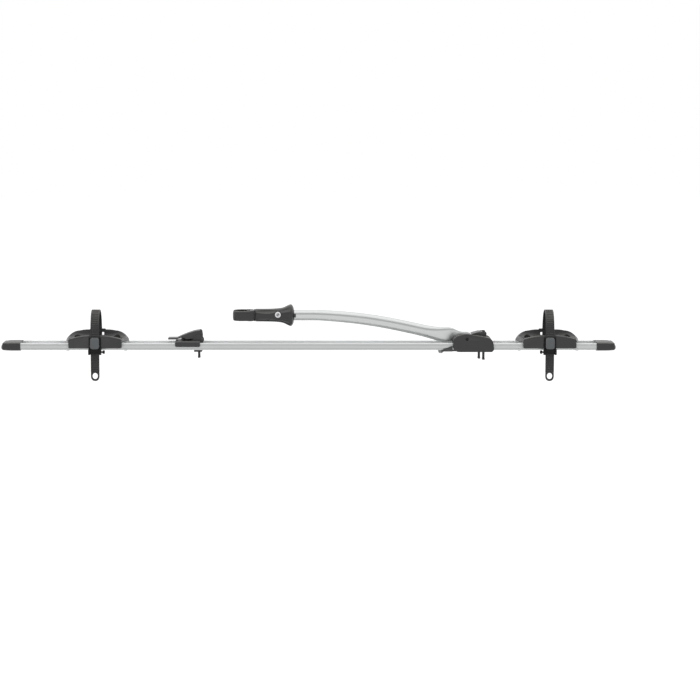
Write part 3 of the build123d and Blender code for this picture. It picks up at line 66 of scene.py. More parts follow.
scene.collection.objects.link(camera)
scene.camera = camera


# Studio: an even white surround, one broad soft lamp overhead and a weaker one low at the front.
# The floor lies well below the bars, as a car's roof and the ground would.
def put(tree, value, socket):
    """Sets a socket to a number or a colour, or links another node's result to it."""
    if isinstance(value, (int, float, tuple)):
        socket.default_value = value
    else:
        tree.links.new(value, socket)


def arithmetic(tree, operation, *values):
    """One step of arithmetic on sockets or numbers."""
    node = tree.nodes.new("ShaderNodeMath")
    node.operation = operation
    for place, value in enumerate(values):
        put(tree, value, node.inputs[place])
    return node.outputs[0]


def ranged(tree, value, low, high):
    """0 at low, 1 at high and in between by even steps."""
    node = tree.nodes.new("ShaderNodeMapRange")
    for label, given in (("Value", value), ("From Min", low), ("From Max", high)):
        put(tree, given, node.inputs[label])
    return node.outputs["Result"]


def mixed(tree, share, first, second):
    """The first colour where share is 0, passing evenly to the second where it is 1."""
    node = tree.nodes.new("ShaderNodeMix")
    node.data_type = "RGBA"
    for label, value in (("Factor", share), ("A", first), ("B", second)):
        put(tree, value, node.inputs[label])
    return node.outputs["Result"]


def parts_of(tree, vector):
    """The X, Y and Z of a vector."""
    node = tree.nodes.new("ShaderNodeSeparateXYZ")
    tree.links.new(vector, node.inputs[0])
    return node.outputs


def seen_directly(tree):
    """A mask that is 1 for rays from the camera, mirrors and clear parts, and 0 for the light that falls on
    things."""
    path = tree.nodes.new("ShaderNodeLightPath").outputs
    seen_or_mirrored = arithmetic(tree, "MAXIMUM", path["Is Camera Ray"], path["Is Glossy Ray"])
    return arithmetic(tree, "MAXIMUM", seen_or_mirrored, path["Is Transmission Ray"])


WHITE = (1.0, 1.0, 1.0, 1.0)
SURROUND_LIGHT = 0.66
# Between the overhead lamp and the horizon at the front a real studio is a little darker. The band gives the
# shade by the height of the direction, and it fades in as the direction turns to the front.
GAP_SHADE = 0.62
GAP_BAND = ((0.24, 1.0), (0.42, GAP_SHADE), (0.74, GAP_SHADE), (0.88, 1.0))
GAP_STARTS_Y = -0.1
GAP_FULL_Y = -0.35
world = bpy.data.worlds.new("studio")
world.use_nodes = True
scene.world = world
world_tree = world.node_tree
world_tree.nodes.clear()
heading = parts_of(world_tree, world_tree.nodes.new("ShaderNodeTexCoord").outputs["Generated"])
height_band = world_tree.nodes.new("ShaderNodeValToRGB")
for place, shade in GAP_BAND:
    stop = height_band.color_ramp.elements.new(place)
    stop.color = (shade, shade, shade, 1.0)
height_band.color_ramp.elements[0].color = WHITE
height_band.color_ramp.elements[-1].color = WHITE
world_tree.links.new(heading["Z"], height_band.inputs["Fac"])
front_side = ranged(world_tree, heading["Y"], GAP_STARTS_Y, GAP_FULL_Y)
soft_light = world_tree.nodes.new("ShaderNodeBackground")
soft_light.inputs["Color"].default_value = WHITE
soft_light.inputs["Strength"].default_value = SURROUND_LIGHT
white_ground = world_tree.nodes.new("ShaderNodeBackground")
white_ground.inputs["Strength"].default_value = 1.0
world_tree.links.new(
    mixed(world_tree, front_side, WHITE, height_band.outputs["Color"]), white_ground.inputs["Color"]
)
pick_light = world_tree.nodes.new("ShaderNodeMixShader")
world_out = world_tree.nodes.new("ShaderNodeOutputWorld")
world_tree.links.new(seen_directly(world_tree), pick_light.inputs[0])
world_tree.links.new(soft_light.outputs[0], pick_light.inputs[1])
world_tree.links.new(white_ground.outputs[0], pick_light.inputs[2])
world_tree.links.new(pick_light.outputs[0], world_out.inputs["Surface"])

for lamp_name, place, tilt, size, watts in (
    ("lamp_overhead", (-0.42, 0.55, 2.4), (0.0, 0.0, 0.0), (4.6, 4.4), 40.0),
    ("lamp_front", (-0.3, -3.4, 0.35), (1.47, 0.0, 0.0), (4.0, 1.2), 5.0),
):
    lamp_data = bpy.data.lights.new(lamp_name, "AREA")
    lamp_data.shape = "RECTANGLE"
    lamp_data.size, lamp_data.size_y = size
    lamp_data.energy = watts
    lamp = bpy.data.objects.new(lamp_name, lamp_data)
    lamp.location = place
    lamp.rotation_euler = tilt
    scene.collection.objects.link(lamp)

FLOOR_Z = -0.85
FLOOR_HALF = 25.0
FLOOR_GREY = (0.55, 0.55, 0.55, 1.0)
FLOOR_LIFT = 0.74
floor_mesh = bpy.data.meshes.new("floor")
floor_mesh.from_pydata(
    [(sx * FLOOR_HALF, sy * FLOOR_HALF, FLOOR_Z) for sx, sy in ((-1, -1), (1, -1), (1, 1), (-1, 1))],
    [],
    [(0, 1, 2, 3)],
)
floor = bpy.data.objects.new("floor", floor_mesh)
scene.collection.objects.link(floor)
floor_paint = bpy.data.materials.new("floor_paint")
floor_paint.use_nodes = True
floor_tree = floor_paint.node_tree
floor_tree.nodes.clear()
floor_matt = floor_tree.nodes.new("ShaderNodeBsdfDiffuse")
floor_matt.inputs["Color"].default_value = FLOOR_GREY
floor_lift = floor_tree.nodes.new("ShaderNodeEmission")
floor_lift.inputs["Strength"].default_value = FLOOR_LIFT
floor_none = floor_tree.nodes.new("ShaderNodeEmission")
floor_none.inputs["Strength"].default_value = 0.0
floor_pick = floor_tree.nodes.new("ShaderNodeMixShader")
floor_sum = floor_tree.nodes.new("ShaderNodeAddShader")
floor_out = floor_tree.nodes.new("ShaderNodeOutputMaterial")
floor_tree.links.new(seen_directly(floor_tree), floor_pick.inputs[0])
floor_tree.links.new(floor_none.outputs[0], floor_pick.inputs[1])
floor_tree.links.new(floor_lift.outputs[0], floor_pick.inputs[2])
floor_tree.links.new(floor_matt.outputs[0], floor_sum.inputs[0])
floor_tree.links.new(floor_pick.outputs[0], floor_sum.inputs[1])
floor_tree.links.new(floor_sum.outputs[0], floor_out.inputs["Surface"])
floor_mesh.materials.append(floor_paint)


# Tray: one aluminium extrusion, clear anodised, so its face carries fine die lines along its length.
# It is sawn to length, and the base, the bracket and the holders straddle it.
# An effect that several finishes share is made in the first section that needs it.
def effect(name, inputs, outputs=()):
    """A new shader group, the sockets that it takes and those that it gives. Each group takes a colour, a
    roughness and the named inputs, and gives a colour, a roughness and the named outputs."""
    group = bpy.data.node_groups.new(name, "ShaderNodeTree")
    for label, value in {"Colour": (0.5, 0.5, 0.5, 1.0), "Roughness": 0.5, **inputs}.items():
        kind = "NodeSocketColor" if isinstance(value, tuple) else "NodeSocketFloat"
        group.interface.new_socket(label, in_out="INPUT", socket_type=kind).default_value = value
    for label in ("Colour", "Roughness", *outputs):
        kind = "NodeSocketColor" if label == "Colour" else "NodeSocketFloat"
        group.interface.new_socket(label, in_out="OUTPUT", socket_type=kind)
    return group, group.nodes.new("NodeGroupInput").outputs, group.nodes.new("NodeGroupOutput").inputs


def give_out(group, given, **results):
    """Links each result to the group's output of that name."""
    for label, value in results.items():
        group.links.new(value, given[label])


def sum_of(group, first, weight, second=0.0):
    """first times weight plus second. Each is a socket or a number."""
    return arithmetic(group, "MULTIPLY_ADD", first, weight, second)


def noise(group, scale, detail, stretch=(1.0, 1.0, 1.0)):
    """Noise on the object's own coordinates, drawn out along the axes where stretch is small."""
    place = group.nodes.new("ShaderNodeTexCoord")
    mapping = group.nodes.new("ShaderNodeMapping")
    mapping.inputs["Scale"].default_value = stretch
    texture = group.nodes.new("ShaderNodeTexNoise")
    texture.inputs["Detail"].default_value = detail
    group.links.new(place.outputs["Object"], mapping.inputs["Vector"])
    group.links.new(mapping.outputs["Vector"], texture.inputs["Vector"])
    put(group, scale, texture.inputs["Scale"])
    return texture.outputs["Fac"]


def toned(group, colour, tone):
    """The colour made lighter or darker by tone, which is 1 where it stays."""
    node = group.nodes.new("ShaderNodeHueSaturation")
    group.links.new(colour, node.inputs["Color"])
    group.links.new(tone, node.inputs["Value"])
    return node.outputs["Color"]


# Drawn lines: fine noise stretched along the piece, with slow cloudy patches over it
drawn_lines, taken, given = effect("drawn_lines", {"Fineness": 900.0, "Depth": 0.1}, ["Height"])
fine = noise(drawn_lines, taken["Fineness"], detail=3.0, stretch=(0.012, 1.0, 1.0))
cloud = noise(drawn_lines, scale=14.0, detail=3.0, stretch=(0.35, 1.0, 1.0))
line_tone = sum_of(drawn_lines, fine, taken["Depth"], sum_of(drawn_lines, cloud, 0.08, 0.92))
give_out(
    drawn_lines, given, Height=fine,
    Colour=toned(drawn_lines, taken["Colour"], line_tone),
    Roughness=sum_of(drawn_lines, fine, 0.14, sum_of(drawn_lines, cloud, 0.12, taken["Roughness"])),
)

# Settled dust and painted highlight: a faint pale film on what faces up, by the upward part of the surface's
# direction, that also paints the overhead lamp's light on the tops
dust_and_top_light, taken, given = effect("dust_and_top_light", {"Amount": 0.1})
DUST_AND_TOP_LIGHT_COLOUR = (0.42, 0.41, 0.38, 1.0)
DUST_AND_TOP_LIGHT_STARTS = 0.12
DUST_AND_TOP_LIGHT_FULL = 0.85
facing = parts_of(dust_and_top_light, dust_and_top_light.nodes.new("ShaderNodeNewGeometry").outputs["Normal"])
upward = ranged(dust_and_top_light, facing["Z"], DUST_AND_TOP_LIGHT_STARTS, DUST_AND_TOP_LIGHT_FULL)
drift = sum_of(dust_and_top_light, upward, noise(dust_and_top_light, scale=42.0, detail=5.0))
# Dust and painted highlight together: the pale share grows on faces that look up.
dust_and_top_light_share = sum_of(dust_and_top_light, drift, taken["Amount"])
give_out(
    dust_and_top_light, given,
    Colour=mixed(dust_and_top_light, dust_and_top_light_share, taken["Colour"], DUST_AND_TOP_LIGHT_COLOUR),
    Roughness=sum_of(dust_and_top_light, dust_and_top_light_share, 0.5, taken["Roughness"]),
)

# Painted light on the channel: the trough's walls and top edges are painted pale and made matt as a painted
# highlight of the overhead lamp, and its floor less so. The outside is painted darker low down as painted
# shade. Each pair of metres is where a mask is 0 and where it is 1.
OUTSIDE_TO_TROUGH = (0.0296, 0.0290)
FLOOR_TO_WALLS = (0.0030, 0.0080)
SIDE_TO_TOP_EDGE = (0.0196, 0.0212)
CLEAR_TO_PAINTED_SHADE = (0.013, 0.0055)
painted_light_channel, taken, given = effect(
    "painted_light_channel", {"Painted Highlight": (0.96, 0.97, 0.97, 1.0), "Painted Shade": 0.4}, ["Metallic"]
)
spot = parts_of(painted_light_channel, painted_light_channel.nodes.new("ShaderNodeTexCoord").outputs["Object"])
off_middle = arithmetic(painted_light_channel, "ABSOLUTE", spot["Y"])
inside = ranged(painted_light_channel, off_middle, *OUTSIDE_TO_TROUGH)
above_floor = ranged(painted_light_channel, spot["Z"], *FLOOR_TO_WALLS)
top_edge = ranged(painted_light_channel, spot["Z"], *SIDE_TO_TOP_EDGE)
# Painted highlight: paler and less metallic in the trough and along the top edges, where the overhead lamp
# falls.
painted_light_place = arithmetic(painted_light_channel, "MAXIMUM", sum_of(painted_light_channel, inside, above_floor), top_edge)
streaks = noise(painted_light_channel, scale=60.0, detail=5.0, stretch=(0.1, 1.0, 1.0))
painted_light_share = sum_of(painted_light_channel, painted_light_place, sum_of(painted_light_channel, streaks, 0.25, 0.85))
# Painted shade: darker low down on the outside.
low_down = ranged(painted_light_channel, spot["Z"], *CLEAR_TO_PAINTED_SHADE)
painted_shade_tone = arithmetic(painted_light_channel, "SUBTRACT", 1.0, sum_of(painted_light_channel, low_down, taken["Painted Shade"]))
painted_shade_colour = toned(painted_light_channel, taken["Colour"], painted_shade_tone)
give_out(
    painted_light_channel, given,
    Colour=mixed(painted_light_channel, painted_light_share, painted_shade_colour, taken["Painted Highlight"]),
    Roughness=sum_of(painted_light_channel, painted_light_share, 0.2, taken["Roughness"]),
    Metallic=sum_of(painted_light_channel, painted_light_share, -0.8, 0.92),
)


def finish_of(name, colour, roughness, metallic, layers, bump, specular=0.5):
    """A material: a Principled surface whose colour and roughness pass through the given effects in turn.
    layers is a list of (effect, {socket: value}), and bump the height in metres of the first one's relief."""
    material = bpy.data.materials.new(name)
    material.use_nodes = True
    tree = material.node_tree
    surface = tree.nodes["Principled BSDF"]
    surface.inputs["Metallic"].default_value = metallic
    surface.inputs["Specular IOR Level"].default_value = specular
    before = None
    relief = None
    for group, settings in layers:
        layer = tree.nodes.new("ShaderNodeGroup")
        layer.node_tree = group
        for label, value in settings.items():
            layer.inputs[label].default_value = value
        if before is None:
            layer.inputs["Colour"].default_value = (*colour, 1.0)
            layer.inputs["Roughness"].default_value = roughness
            relief = layer.outputs["Height"]
        else:
            tree.links.new(before.outputs["Colour"], layer.inputs["Colour"])
            tree.links.new(before.outputs["Roughness"], layer.inputs["Roughness"])
        if "Metallic" in layer.outputs:
            tree.links.new(layer.outputs["Metallic"], surface.inputs["Metallic"])
        before = layer
    tree.links.new(before.outputs["Colour"], surface.inputs["Base Color"])
    tree.links.new(before.outputs["Roughness"], surface.inputs["Roughness"])
    raised = tree.nodes.new("ShaderNodeBump")
    raised.inputs["Strength"].default_value = 1.0
    raised.inputs["Distance"].default_value = bump
    tree.links.new(relief, raised.inputs["Height"])
    tree.links.new(raised.outputs["Normal"], surface.inputs["Normal"])
    return material


# The tray's finish holds the channel's painted highlight and painted shade.
tray_metal = finish_of(
    "anodised_tray", colour=(0.56, 0.575, 0.57), roughness=0.34, metallic=0.92, bump=0.00003,
    layers=[
        (drawn_lines, {"Fineness": 1100.0, "Depth": 0.06}),
        (painted_light_channel, {}),
        (dust_and_top_light, {"Amount": 0.05}),
    ],
)

MERGE_DISTANCE = 0.00002
FLAT_DEGREES = 0.6
CREASE_DEGREES = 38.0


def softened(name, node, material, body, width=0.0, segments=1, reshape=None):
    """A node's shape with its edges rounded as a mould leaves them: the node's mesh is merged, its flat
    faces are joined, and a bevel of this width in metres runs along each edge sharper than the crease angle.
    reshape, where given, takes the corners as rows of three in millimetres and gives them back moved."""
    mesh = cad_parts[node].data.copy()
    mesh.name = name
    shell = bmesh.new()
    shell.from_mesh(mesh)
    bmesh.ops.remove_doubles(shell, verts=shell.verts, dist=MERGE_DISTANCE)
    bmesh.ops.dissolve_degenerate(shell, edges=shell.edges, dist=MERGE_DISTANCE)
    bmesh.ops.dissolve_limit(
        shell, angle_limit=math.radians(FLAT_DEGREES), verts=shell.verts, edges=shell.edges,
        use_dissolve_boundaries=False,
    )
    shell.to_mesh(mesh)
    shell.free()
    if reshape is not None:
        corners = np.empty(len(mesh.vertices) * 3)
        mesh.vertices.foreach_get("co", corners)
        mesh.vertices.foreach_set("co", (reshape(corners.reshape(-1, 3) * 1000.0) * 0.001).ravel())
    mesh.materials.clear()
    mesh.materials.append(material)
    mesh.shade_smooth()
    mesh.set_sharp_from_angle(angle=math.radians(CREASE_DEGREES))
    piece = bpy.data.objects.new(name, mesh)
    scene.collection.objects.link(piece)
    if width > 0.0:
        rounding = piece.modifiers.new("rounding", "BEVEL")
        rounding.width = width
        rounding.segments = segments
        rounding.limit_method = "ANGLE"
        rounding.angle_limit = math.radians(CREASE_DEGREES)
        rounding.harden_normals = True
        rounding.use_clamp_overlap = True
    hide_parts(node)
    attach(piece, body)


TRAY_END_LOW = -1137.0
TRAY_END_HIGH = 297.0


def cut_to_caps(corners):
    """The same corners with both ends of the tray brought back to where the caps are full size."""
    moved = corners.copy()
    moved[:, 0] = np.clip(corners[:, 0], TRAY_END_LOW, TRAY_END_HIGH)
    return moved


softened("tray_extrusion", "tray_channel", tray_metal, "tray", reshape=cut_to_caps)

# End caps: glass-filled nylon mouldings pushed over the tray's two ends.
# Their grain is fine, and their rounded corners are rubbed from being set down on them.

# Moulded grain: fine pebbled noise with slow patches, for every plastic and rubber piece
moulded_grain, taken, given = effect("moulded_grain", {"Fineness": 1500.0, "Patches": 0.3}, ["Height"])
pebble = noise(moulded_grain, taken["Fineness"], detail=2.0)
patch = noise(moulded_grain, scale=26.0, detail=4.0)
grain_tone = sum_of(moulded_grain, patch, taken["Patches"], sum_of(moulded_grain, pebble, 0.14, 0.86))
give_out(
    moulded_grain, given, Height=pebble,
    Colour=toned(moulded_grain, taken["Colour"], grain_tone),
    Roughness=sum_of(moulded_grain, pebble, 0.16, sum_of(moulded_grain, patch, 0.14, taken["Roughness"])),
)

# Rubbed edges: lighter and smoother where the surface is sharpest, broken up by noise
rubbed_edges, taken, given = effect("rubbed_edges", {"Bare": (0.2, 0.2, 0.2, 1.0), "Amount": 0.5})
BLUNT = 0.53
SHARP = 0.62
sharpness = rubbed_edges.nodes.new("ShaderNodeNewGeometry").outputs["Pointiness"]
broken = noise(rubbed_edges, scale=90.0, detail=4.0)
edge_mask = sum_of(rubbed_edges, ranged(rubbed_edges, sharpness, BLUNT, SHARP), broken)
edge_share = sum_of(rubbed_edges, edge_mask, taken["Amount"])
give_out(
    rubbed_edges, given,
    Colour=mixed(rubbed_edges, edge_share, taken["Colour"], taken["Bare"]),
    Roughness=sum_of(rubbed_edges, edge_share, -0.2, taken["Roughness"]),
)

# The dust layer here also paints the overhead lamp's light on the faces that look up, as a painted highlight.
black_nylon = finish_of(
    "black_nylon", colour=(0.017, 0.017, 0.0175), roughness=0.20, metallic=0.0, bump=0.00006,
    layers=[
        (moulded_grain, {"Fineness": 1500.0, "Patches": 0.3}),
        (rubbed_edges, {"Bare": (0.11, 0.11, 0.112, 1.0), "Amount": 0.3}),
        (dust_and_top_light, {"Amount": 0.2}),
    ],
)


def rounded_ring(half_width, half_height, squareness, count):
    """Points round an oval, from an ellipse at squareness 2 towards a rectangle as it rises: each coordinate
    is the half size times the cosine or sine of the turn, raised to 2 / squareness with its sign kept."""
    turn = np.linspace(0.0, 2.0 * np.pi, count, endpoint=False)
    power = 2.0 / np.asarray(squareness, dtype=float)[..., None]
    across_part = np.sign(np.cos(turn)) * np.abs(np.cos(turn)) ** power
    up_part = np.sign(np.sin(turn)) * np.abs(np.sin(turn)) ** power
    return np.asarray(half_width)[..., None] * across_part, np.asarray(half_height)[..., None] * up_part


WELD_DISTANCE = 0.000002


def shell_from(name, grids, material, smooth=40.0):
    """A piece from grids of points in millimetres, each of rows, columns and three coordinates. The columns
    of a grid close on themselves, and each end row that isn't already a point is closed by a fan to its
    middle."""
    corners = []
    faces = []
    start = 0
    for points in grids:
        points = np.concatenate([
            np.broadcast_to(points[0].mean(axis=0), points[:1].shape), points,
            np.broadcast_to(points[-1].mean(axis=0), points[:1].shape),
        ])
        rows, columns = points.shape[:2]
        index = np.arange(rows * columns).reshape(rows, columns) + start
        beside = np.roll(index, -1, axis=1)
        quads = np.stack([index[:-1], beside[:-1], beside[1:], index[1:]], axis=-1).reshape(-1, 4)
        corners.append(points.reshape(-1, 3))
        faces.append(quads)
        start += rows * columns
    mesh = bpy.data.meshes.new(name)
    mesh.from_pydata((np.concatenate(corners) * 0.001).tolist(), [], np.concatenate(faces).tolist())
    shell = bmesh.new()
    shell.from_mesh(mesh)
    bmesh.ops.remove_doubles(shell, verts=shell.verts, dist=WELD_DISTANCE)
    bmesh.ops.dissolve_degenerate(shell, edges=shell.edges, dist=WELD_DISTANCE)
    bmesh.ops.recalc_face_normals(shell, faces=shell.faces)
    shell.to_mesh(mesh)
    shell.free()
    mesh.materials.append(material)
    mesh.shade_smooth()
    mesh.set_sharp_from_angle(angle=math.radians(smooth))
    piece = bpy.data.objects.new(name, mesh)
    scene.collection.objects.link(piece)
    return piece


CAP_LENGTH = 49.0
CAP_NOSE_Z = 9.0
CAP_HALF_WIDTH = 32.2
CAP_RISE = 15.0
CAP_DROP = 6.2
# How far from the nose each side is full size, and how square its rounding is
CAP_SIDES = (24.0, 3.2)
CAP_TOP = (19.0, 2.2)
CAP_BOTTOM = (9.0, 2.2)
CAP_SQUARENESS = (2.4, 6.0)
CAP_SQUARE_LENGTH = 26.0
CAP_LIP = 0.6
CAP_BORE_START = 6.0
CAP_BORE_HALF_WIDTH = 30.15
CAP_BORE_HALF_HEIGHT = 8.65
CAP_BORE_SQUARENESS = 16.0
CAP_BORE_Z = 13.5


def cap_shell(tip_x, inward):
    """Rounded-rectangle sections along the cap. The half width, the top and the bottom each grow from the
    nose as a rounded quarter, and inside the open end the surface turns back as the tray's own outline."""
    reach = CAP_LENGTH * np.linspace(0.0, 1.0, 34) ** 2

    def swell(length, power):
        """0 at the nose and 1 from this length on: one less the rest of the way to a power, to its root."""
        return (1.0 - (1.0 - np.clip(reach / length, 0.0, 1.0)) ** power) ** (1.0 / power)

    half_width = CAP_HALF_WIDTH * swell(*CAP_SIDES)
    top = CAP_NOSE_Z + CAP_RISE * swell(*CAP_TOP)
    bottom = CAP_NOSE_Z - CAP_DROP * swell(*CAP_BOTTOM)
    squareness = np.interp(reach, (0.0, CAP_SQUARE_LENGTH), CAP_SQUARENESS)
    across_part, up_part = rounded_ring(half_width, (top - bottom) / 2.0, squareness, count=72)
    middle = (top + bottom) / 2.0
    outer = np.stack([
        np.broadcast_to(reach[:, None], across_part.shape), across_part, middle[:, None] + up_part,
    ], axis=-1)
    depth = np.array([CAP_LENGTH, CAP_LENGTH - CAP_LIP, CAP_BORE_START])
    across_part, up_part = rounded_ring(
        np.full(3, CAP_BORE_HALF_WIDTH), np.full(3, CAP_BORE_HALF_HEIGHT), np.full(3, CAP_BORE_SQUARENESS),
        count=72,
    )
    inner = np.stack([
        np.broadcast_to(depth[:, None], across_part.shape), across_part, CAP_BORE_Z + up_part,
    ], axis=-1)
    points = np.concatenate([outer, inner])
    points[..., 0] = tip_x + inward * points[..., 0]
    return points


for end, tip_x, inward in (("rear", -1165.0, 1.0), ("front", 325.0, -1.0)):
    cap = shell_from(f"cap_{end}", [cap_shell(tip_x, inward)], black_nylon)
    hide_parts(f"end_cap_{end}")
    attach(cap, "tray")

# Arm base: a nylon housing moulded in one piece over the tray and screwed to a pressed steel foot plate,
# which has a ribbed rubber seat and a grey rubber sleeve on its hook. Two steel T-bolts hang from a yoke in
# the short nylon lever, whose cams bear on a steel wear plate.
softened("housing", "base_housing", black_nylon, "tray", width=0.0011, segments=3)
black_steel = finish_of(
    "black_steel", colour=(0.018, 0.018, 0.019), roughness=0.38, metallic=0.0, bump=0.00003,
    layers=[
        (moulded_grain, {"Fineness": 700.0, "Patches": 0.2}),
        (rubbed_edges, {"Bare": (0.35, 0.35, 0.36, 1.0), "Amount": 0.4}),
    ],
)
softened("foot_plate", "base_foot", black_steel, "tray", width=0.0005, segments=2)


def dress(material, *nodes):
    """Gives each of these CAD nodes this finish alone."""
    for node in nodes:
        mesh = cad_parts[node].data
        mesh.materials.clear()
        mesh.materials.append(material)


dress(black_steel, "pivot_pin", "base_t_bolts", "base_yoke")
black_rubber = finish_of(
    "black_rubber", colour=(0.018, 0.018, 0.018), roughness=0.62, metallic=0.0, bump=0.00006, specular=0.35,
    layers=[(moulded_grain, {"Fineness": 900.0, "Patches": 0.25}), (dust_and_top_light, {"Amount": 0.08})],
)
dress(black_rubber, "base_pad")
grey_rubber = finish_of(
    "grey_rubber", colour=(0.44, 0.44, 0.44), roughness=0.6, metallic=0.0, bump=0.00006, specular=0.35,
    layers=[(moulded_grain, {"Fineness": 900.0, "Patches": 0.25})],
)
softened("hook_sleeve", "hook_pad", grey_rubber, "tray", width=0.0012, segments=3)
zinc_steel = finish_of(
    "zinc_steel", colour=(0.48, 0.49, 0.50), roughness=0.34, metallic=1.0, bump=0.00002,
    layers=[(drawn_lines, {"Fineness": 500.0, "Depth": 0.12})],
)
dress(zinc_steel, "base_screws", "base_wear_plate")
softened("base_lever_shell", "base_cam_lever", black_nylon, "base_lever",
         width=0.0007, segments=2)

# Arm: a bent aluminium tube, satin anodised and pressed flat at its foot, where it turns on a steel pin in
# two flanged acetal bushes. A nylon plug closes its mouth round the core tube.
arm_metal = finish_of(
    "anodised_arm", colour=(0.53, 0.545, 0.54), roughness=0.20, metallic=0.95, bump=0.00001,
    layers=[(drawn_lines, {"Fineness": 600.0, "Depth": 0.04}), (dust_and_top_light, {"Amount": 0.04})],
)

# Along the arm: x, height of the middle, half height, half width, squareness of the section
ARM_STATIONS = np.array([
    (-454.7, 87.0, 12.9, 12.9, 2.0), (-440.0, 87.0, 12.9, 12.9, 2.0), (-420.0, 87.0, 12.9, 12.9, 2.0),
    (-400.0, 86.9, 12.9, 12.9, 2.0), (-375.0, 85.7, 13.2, 13.2, 2.0), (-350.0, 83.9, 13.4, 13.4, 2.0),
    (-322.0, 81.4, 13.6, 13.5, 2.0), (-295.0, 78.4, 13.8, 13.6, 2.05), (-246.0, 71.2, 14.0, 13.8, 2.05),
    (-198.0, 62.0, 14.1, 13.8, 2.1), (-149.0, 51.3, 14.2, 13.6, 2.15), (-133.0, 47.5, 14.6, 13.2, 2.2),
    (-120.0, 44.4, 15.4, 12.4, 2.5), (-108.0, 41.8, 16.6, 11.2, 2.9), (-98.0, 40.0, 17.9, 10.2, 3.2),
    (-90.0, 39.1, 18.8, 9.4, 3.4), (-83.0, 39.4, 18.4, 8.5, 3.5), (-77.0, 39.9, 17.4, 7.6, 3.6),
    (-73.0, 40.3, 16.2, 6.9, 3.5), (-70.0, 40.5, 15.2, 6.3, 3.8), (-67.5, 40.4, 14.2, 5.9, 4.2),
    (-64.5, 39.7, 13.1, 5.6, 5.0), (-59.0, 38.2, 12.2, 5.5, 6.0), (-52.0, 35.9, 11.9, 5.5, 6.0),
    (-44.0, 33.9, 12.8, 5.5, 6.0), (-38.0, 32.9, 13.8, 5.5, 6.0), (-32.0, 32.9, 12.8, 5.5, 6.0),
    (-27.0, 33.0, 9.6, 5.5, 6.0), (-24.4, 33.0, 5.0, 5.3, 6.0),
])
ARM_COARSE_END_X = -150.0
ARM_FINE_START_X = -147.0
# From here towards the foot the sections stand upright, and over this length they lean back to square
ARM_UPRIGHT_X = -90.0
ARM_LEAN_LENGTH = 60.0


def smooth_through(knots, values, places):
    """A smooth curve through each column of values: between two knots, the cubic that keeps at each knot the
    slope of the line between its neighbours."""
    slopes = np.gradient(values, knots, axis=0)
    left = np.clip(np.searchsorted(knots, places, side="right") - 1, 0, len(knots) - 2)
    span = (knots[left + 1] - knots[left])[:, None]
    part = ((places - knots[left]) / (knots[left + 1] - knots[left]))[:, None]
    return (
        values[left] * (2 * part**3 - 3 * part**2 + 1) + slopes[left] * span * (part**3 - 2 * part**2 + part)
        + values[left + 1] * (3 * part**2 - 2 * part**3) + slopes[left + 1] * span * (part**3 - part**2)
    )


def arm_shell():
    """Oval sections carried along the arm's bent middle line, each square to it, that flatten into the
    tongue."""
    places = np.concatenate([
        np.linspace(ARM_STATIONS[0, 0], ARM_COARSE_END_X, 90),
        np.linspace(ARM_FINE_START_X, ARM_STATIONS[-1, 0], 110),
    ])
    middle, half_height, half_width, squareness = smooth_through(
        ARM_STATIONS[:, 0], ARM_STATIONS[:, 1:], places
    ).T
    lean = np.clip((ARM_UPRIGHT_X - places) / ARM_LEAN_LENGTH, 0.0, 1.0)
    slope = np.arctan(np.gradient(middle, places)) * lean
    across_part, up_part = rounded_ring(half_width, half_height, squareness, count=64)
    return np.stack([
        places[:, None] - np.sin(slope)[:, None] * up_part, across_part,
        middle[:, None] + np.cos(slope)[:, None] * up_part,
    ], axis=-1)


arm_piece = shell_from("arm_metalwork", [arm_shell()], arm_metal)
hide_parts("arm_tube")
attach(arm_piece, "arm")
acetal = finish_of(
    "white_acetal", colour=(0.72, 0.72, 0.70), roughness=0.4, metallic=0.0, bump=0.00002,
    layers=[(moulded_grain, {"Fineness": 1200.0, "Patches": 0.1})],
)
dress(acetal, "arm_bushes")
softened("mouth_plug", "tube_plug", black_nylon, "arm", width=0.0004, segments=2)

# Drive and lock: a slotted steel core tube in the arm's end guides the follower and the draw rod. The knob's
# brass insert drives the brass follower, and its pin pushes the rod. The lock is a plated key cylinder in a
# nylon sleeve in the knob's side, and its steel bolt drops into the core tube.
dress(zinc_steel, "core_tube", "draw_cross_pin", "draw_rod", "draw_pin", "lock_bolt")
brass = finish_of(
    "turned_brass", colour=(0.66, 0.50, 0.26), roughness=0.3, metallic=1.0, bump=0.00002,
    layers=[(drawn_lines, {"Fineness": 800.0, "Depth": 0.1})],
)
dress(brass, "thread_insert", "draw_follower")

# Ringed face: a paler rim round a turned disc, by the distance from its middle
ringed_face, taken, given = effect("ringed_face", {
    "Rim": (0.75, 0.75, 0.75, 1.0), "Middle X": 0.0, "Middle Z": 0.0, "Inner": 0.004, "Outer": 0.005,
})
spot = parts_of(ringed_face, ringed_face.nodes.new("ShaderNodeTexCoord").outputs["Object"])
aside = arithmetic(ringed_face, "SUBTRACT", spot["X"], taken["Middle X"])
above = arithmetic(ringed_face, "SUBTRACT", spot["Z"], taken["Middle Z"])
squares = sum_of(ringed_face, aside, aside, sum_of(ringed_face, above, above))
rim_share = ranged(ringed_face, arithmetic(ringed_face, "SQRT", squares), taken["Inner"], taken["Outer"])
give_out(
    ringed_face, given,
    Colour=mixed(ringed_face, rim_share, taken["Colour"], taken["Rim"]), Roughness=taken["Roughness"],
)
lock_metal = finish_of(
    "lock_chrome", colour=(0.36, 0.36, 0.365), roughness=0.24, metallic=1.0, bump=0.00001,
    layers=[
        (drawn_lines, {"Fineness": 900.0, "Depth": 0.05}),
        (ringed_face, {"Rim": (0.68, 0.68, 0.69, 1.0), "Middle X": -0.494, "Middle Z": 0.0896,
                       "Inner": 0.0042, "Outer": 0.0052}),
    ],
)
dress(lock_metal, "lock_cylinder")
dress(black_nylon, "lock_sleeve")

# Knob: a nylon grip turned by hand, moulded in one piece with eight long hollows and a flare at its foot.
# It runs on the core tube in front of the arm's mouth.
HEAD_Z = 87.0
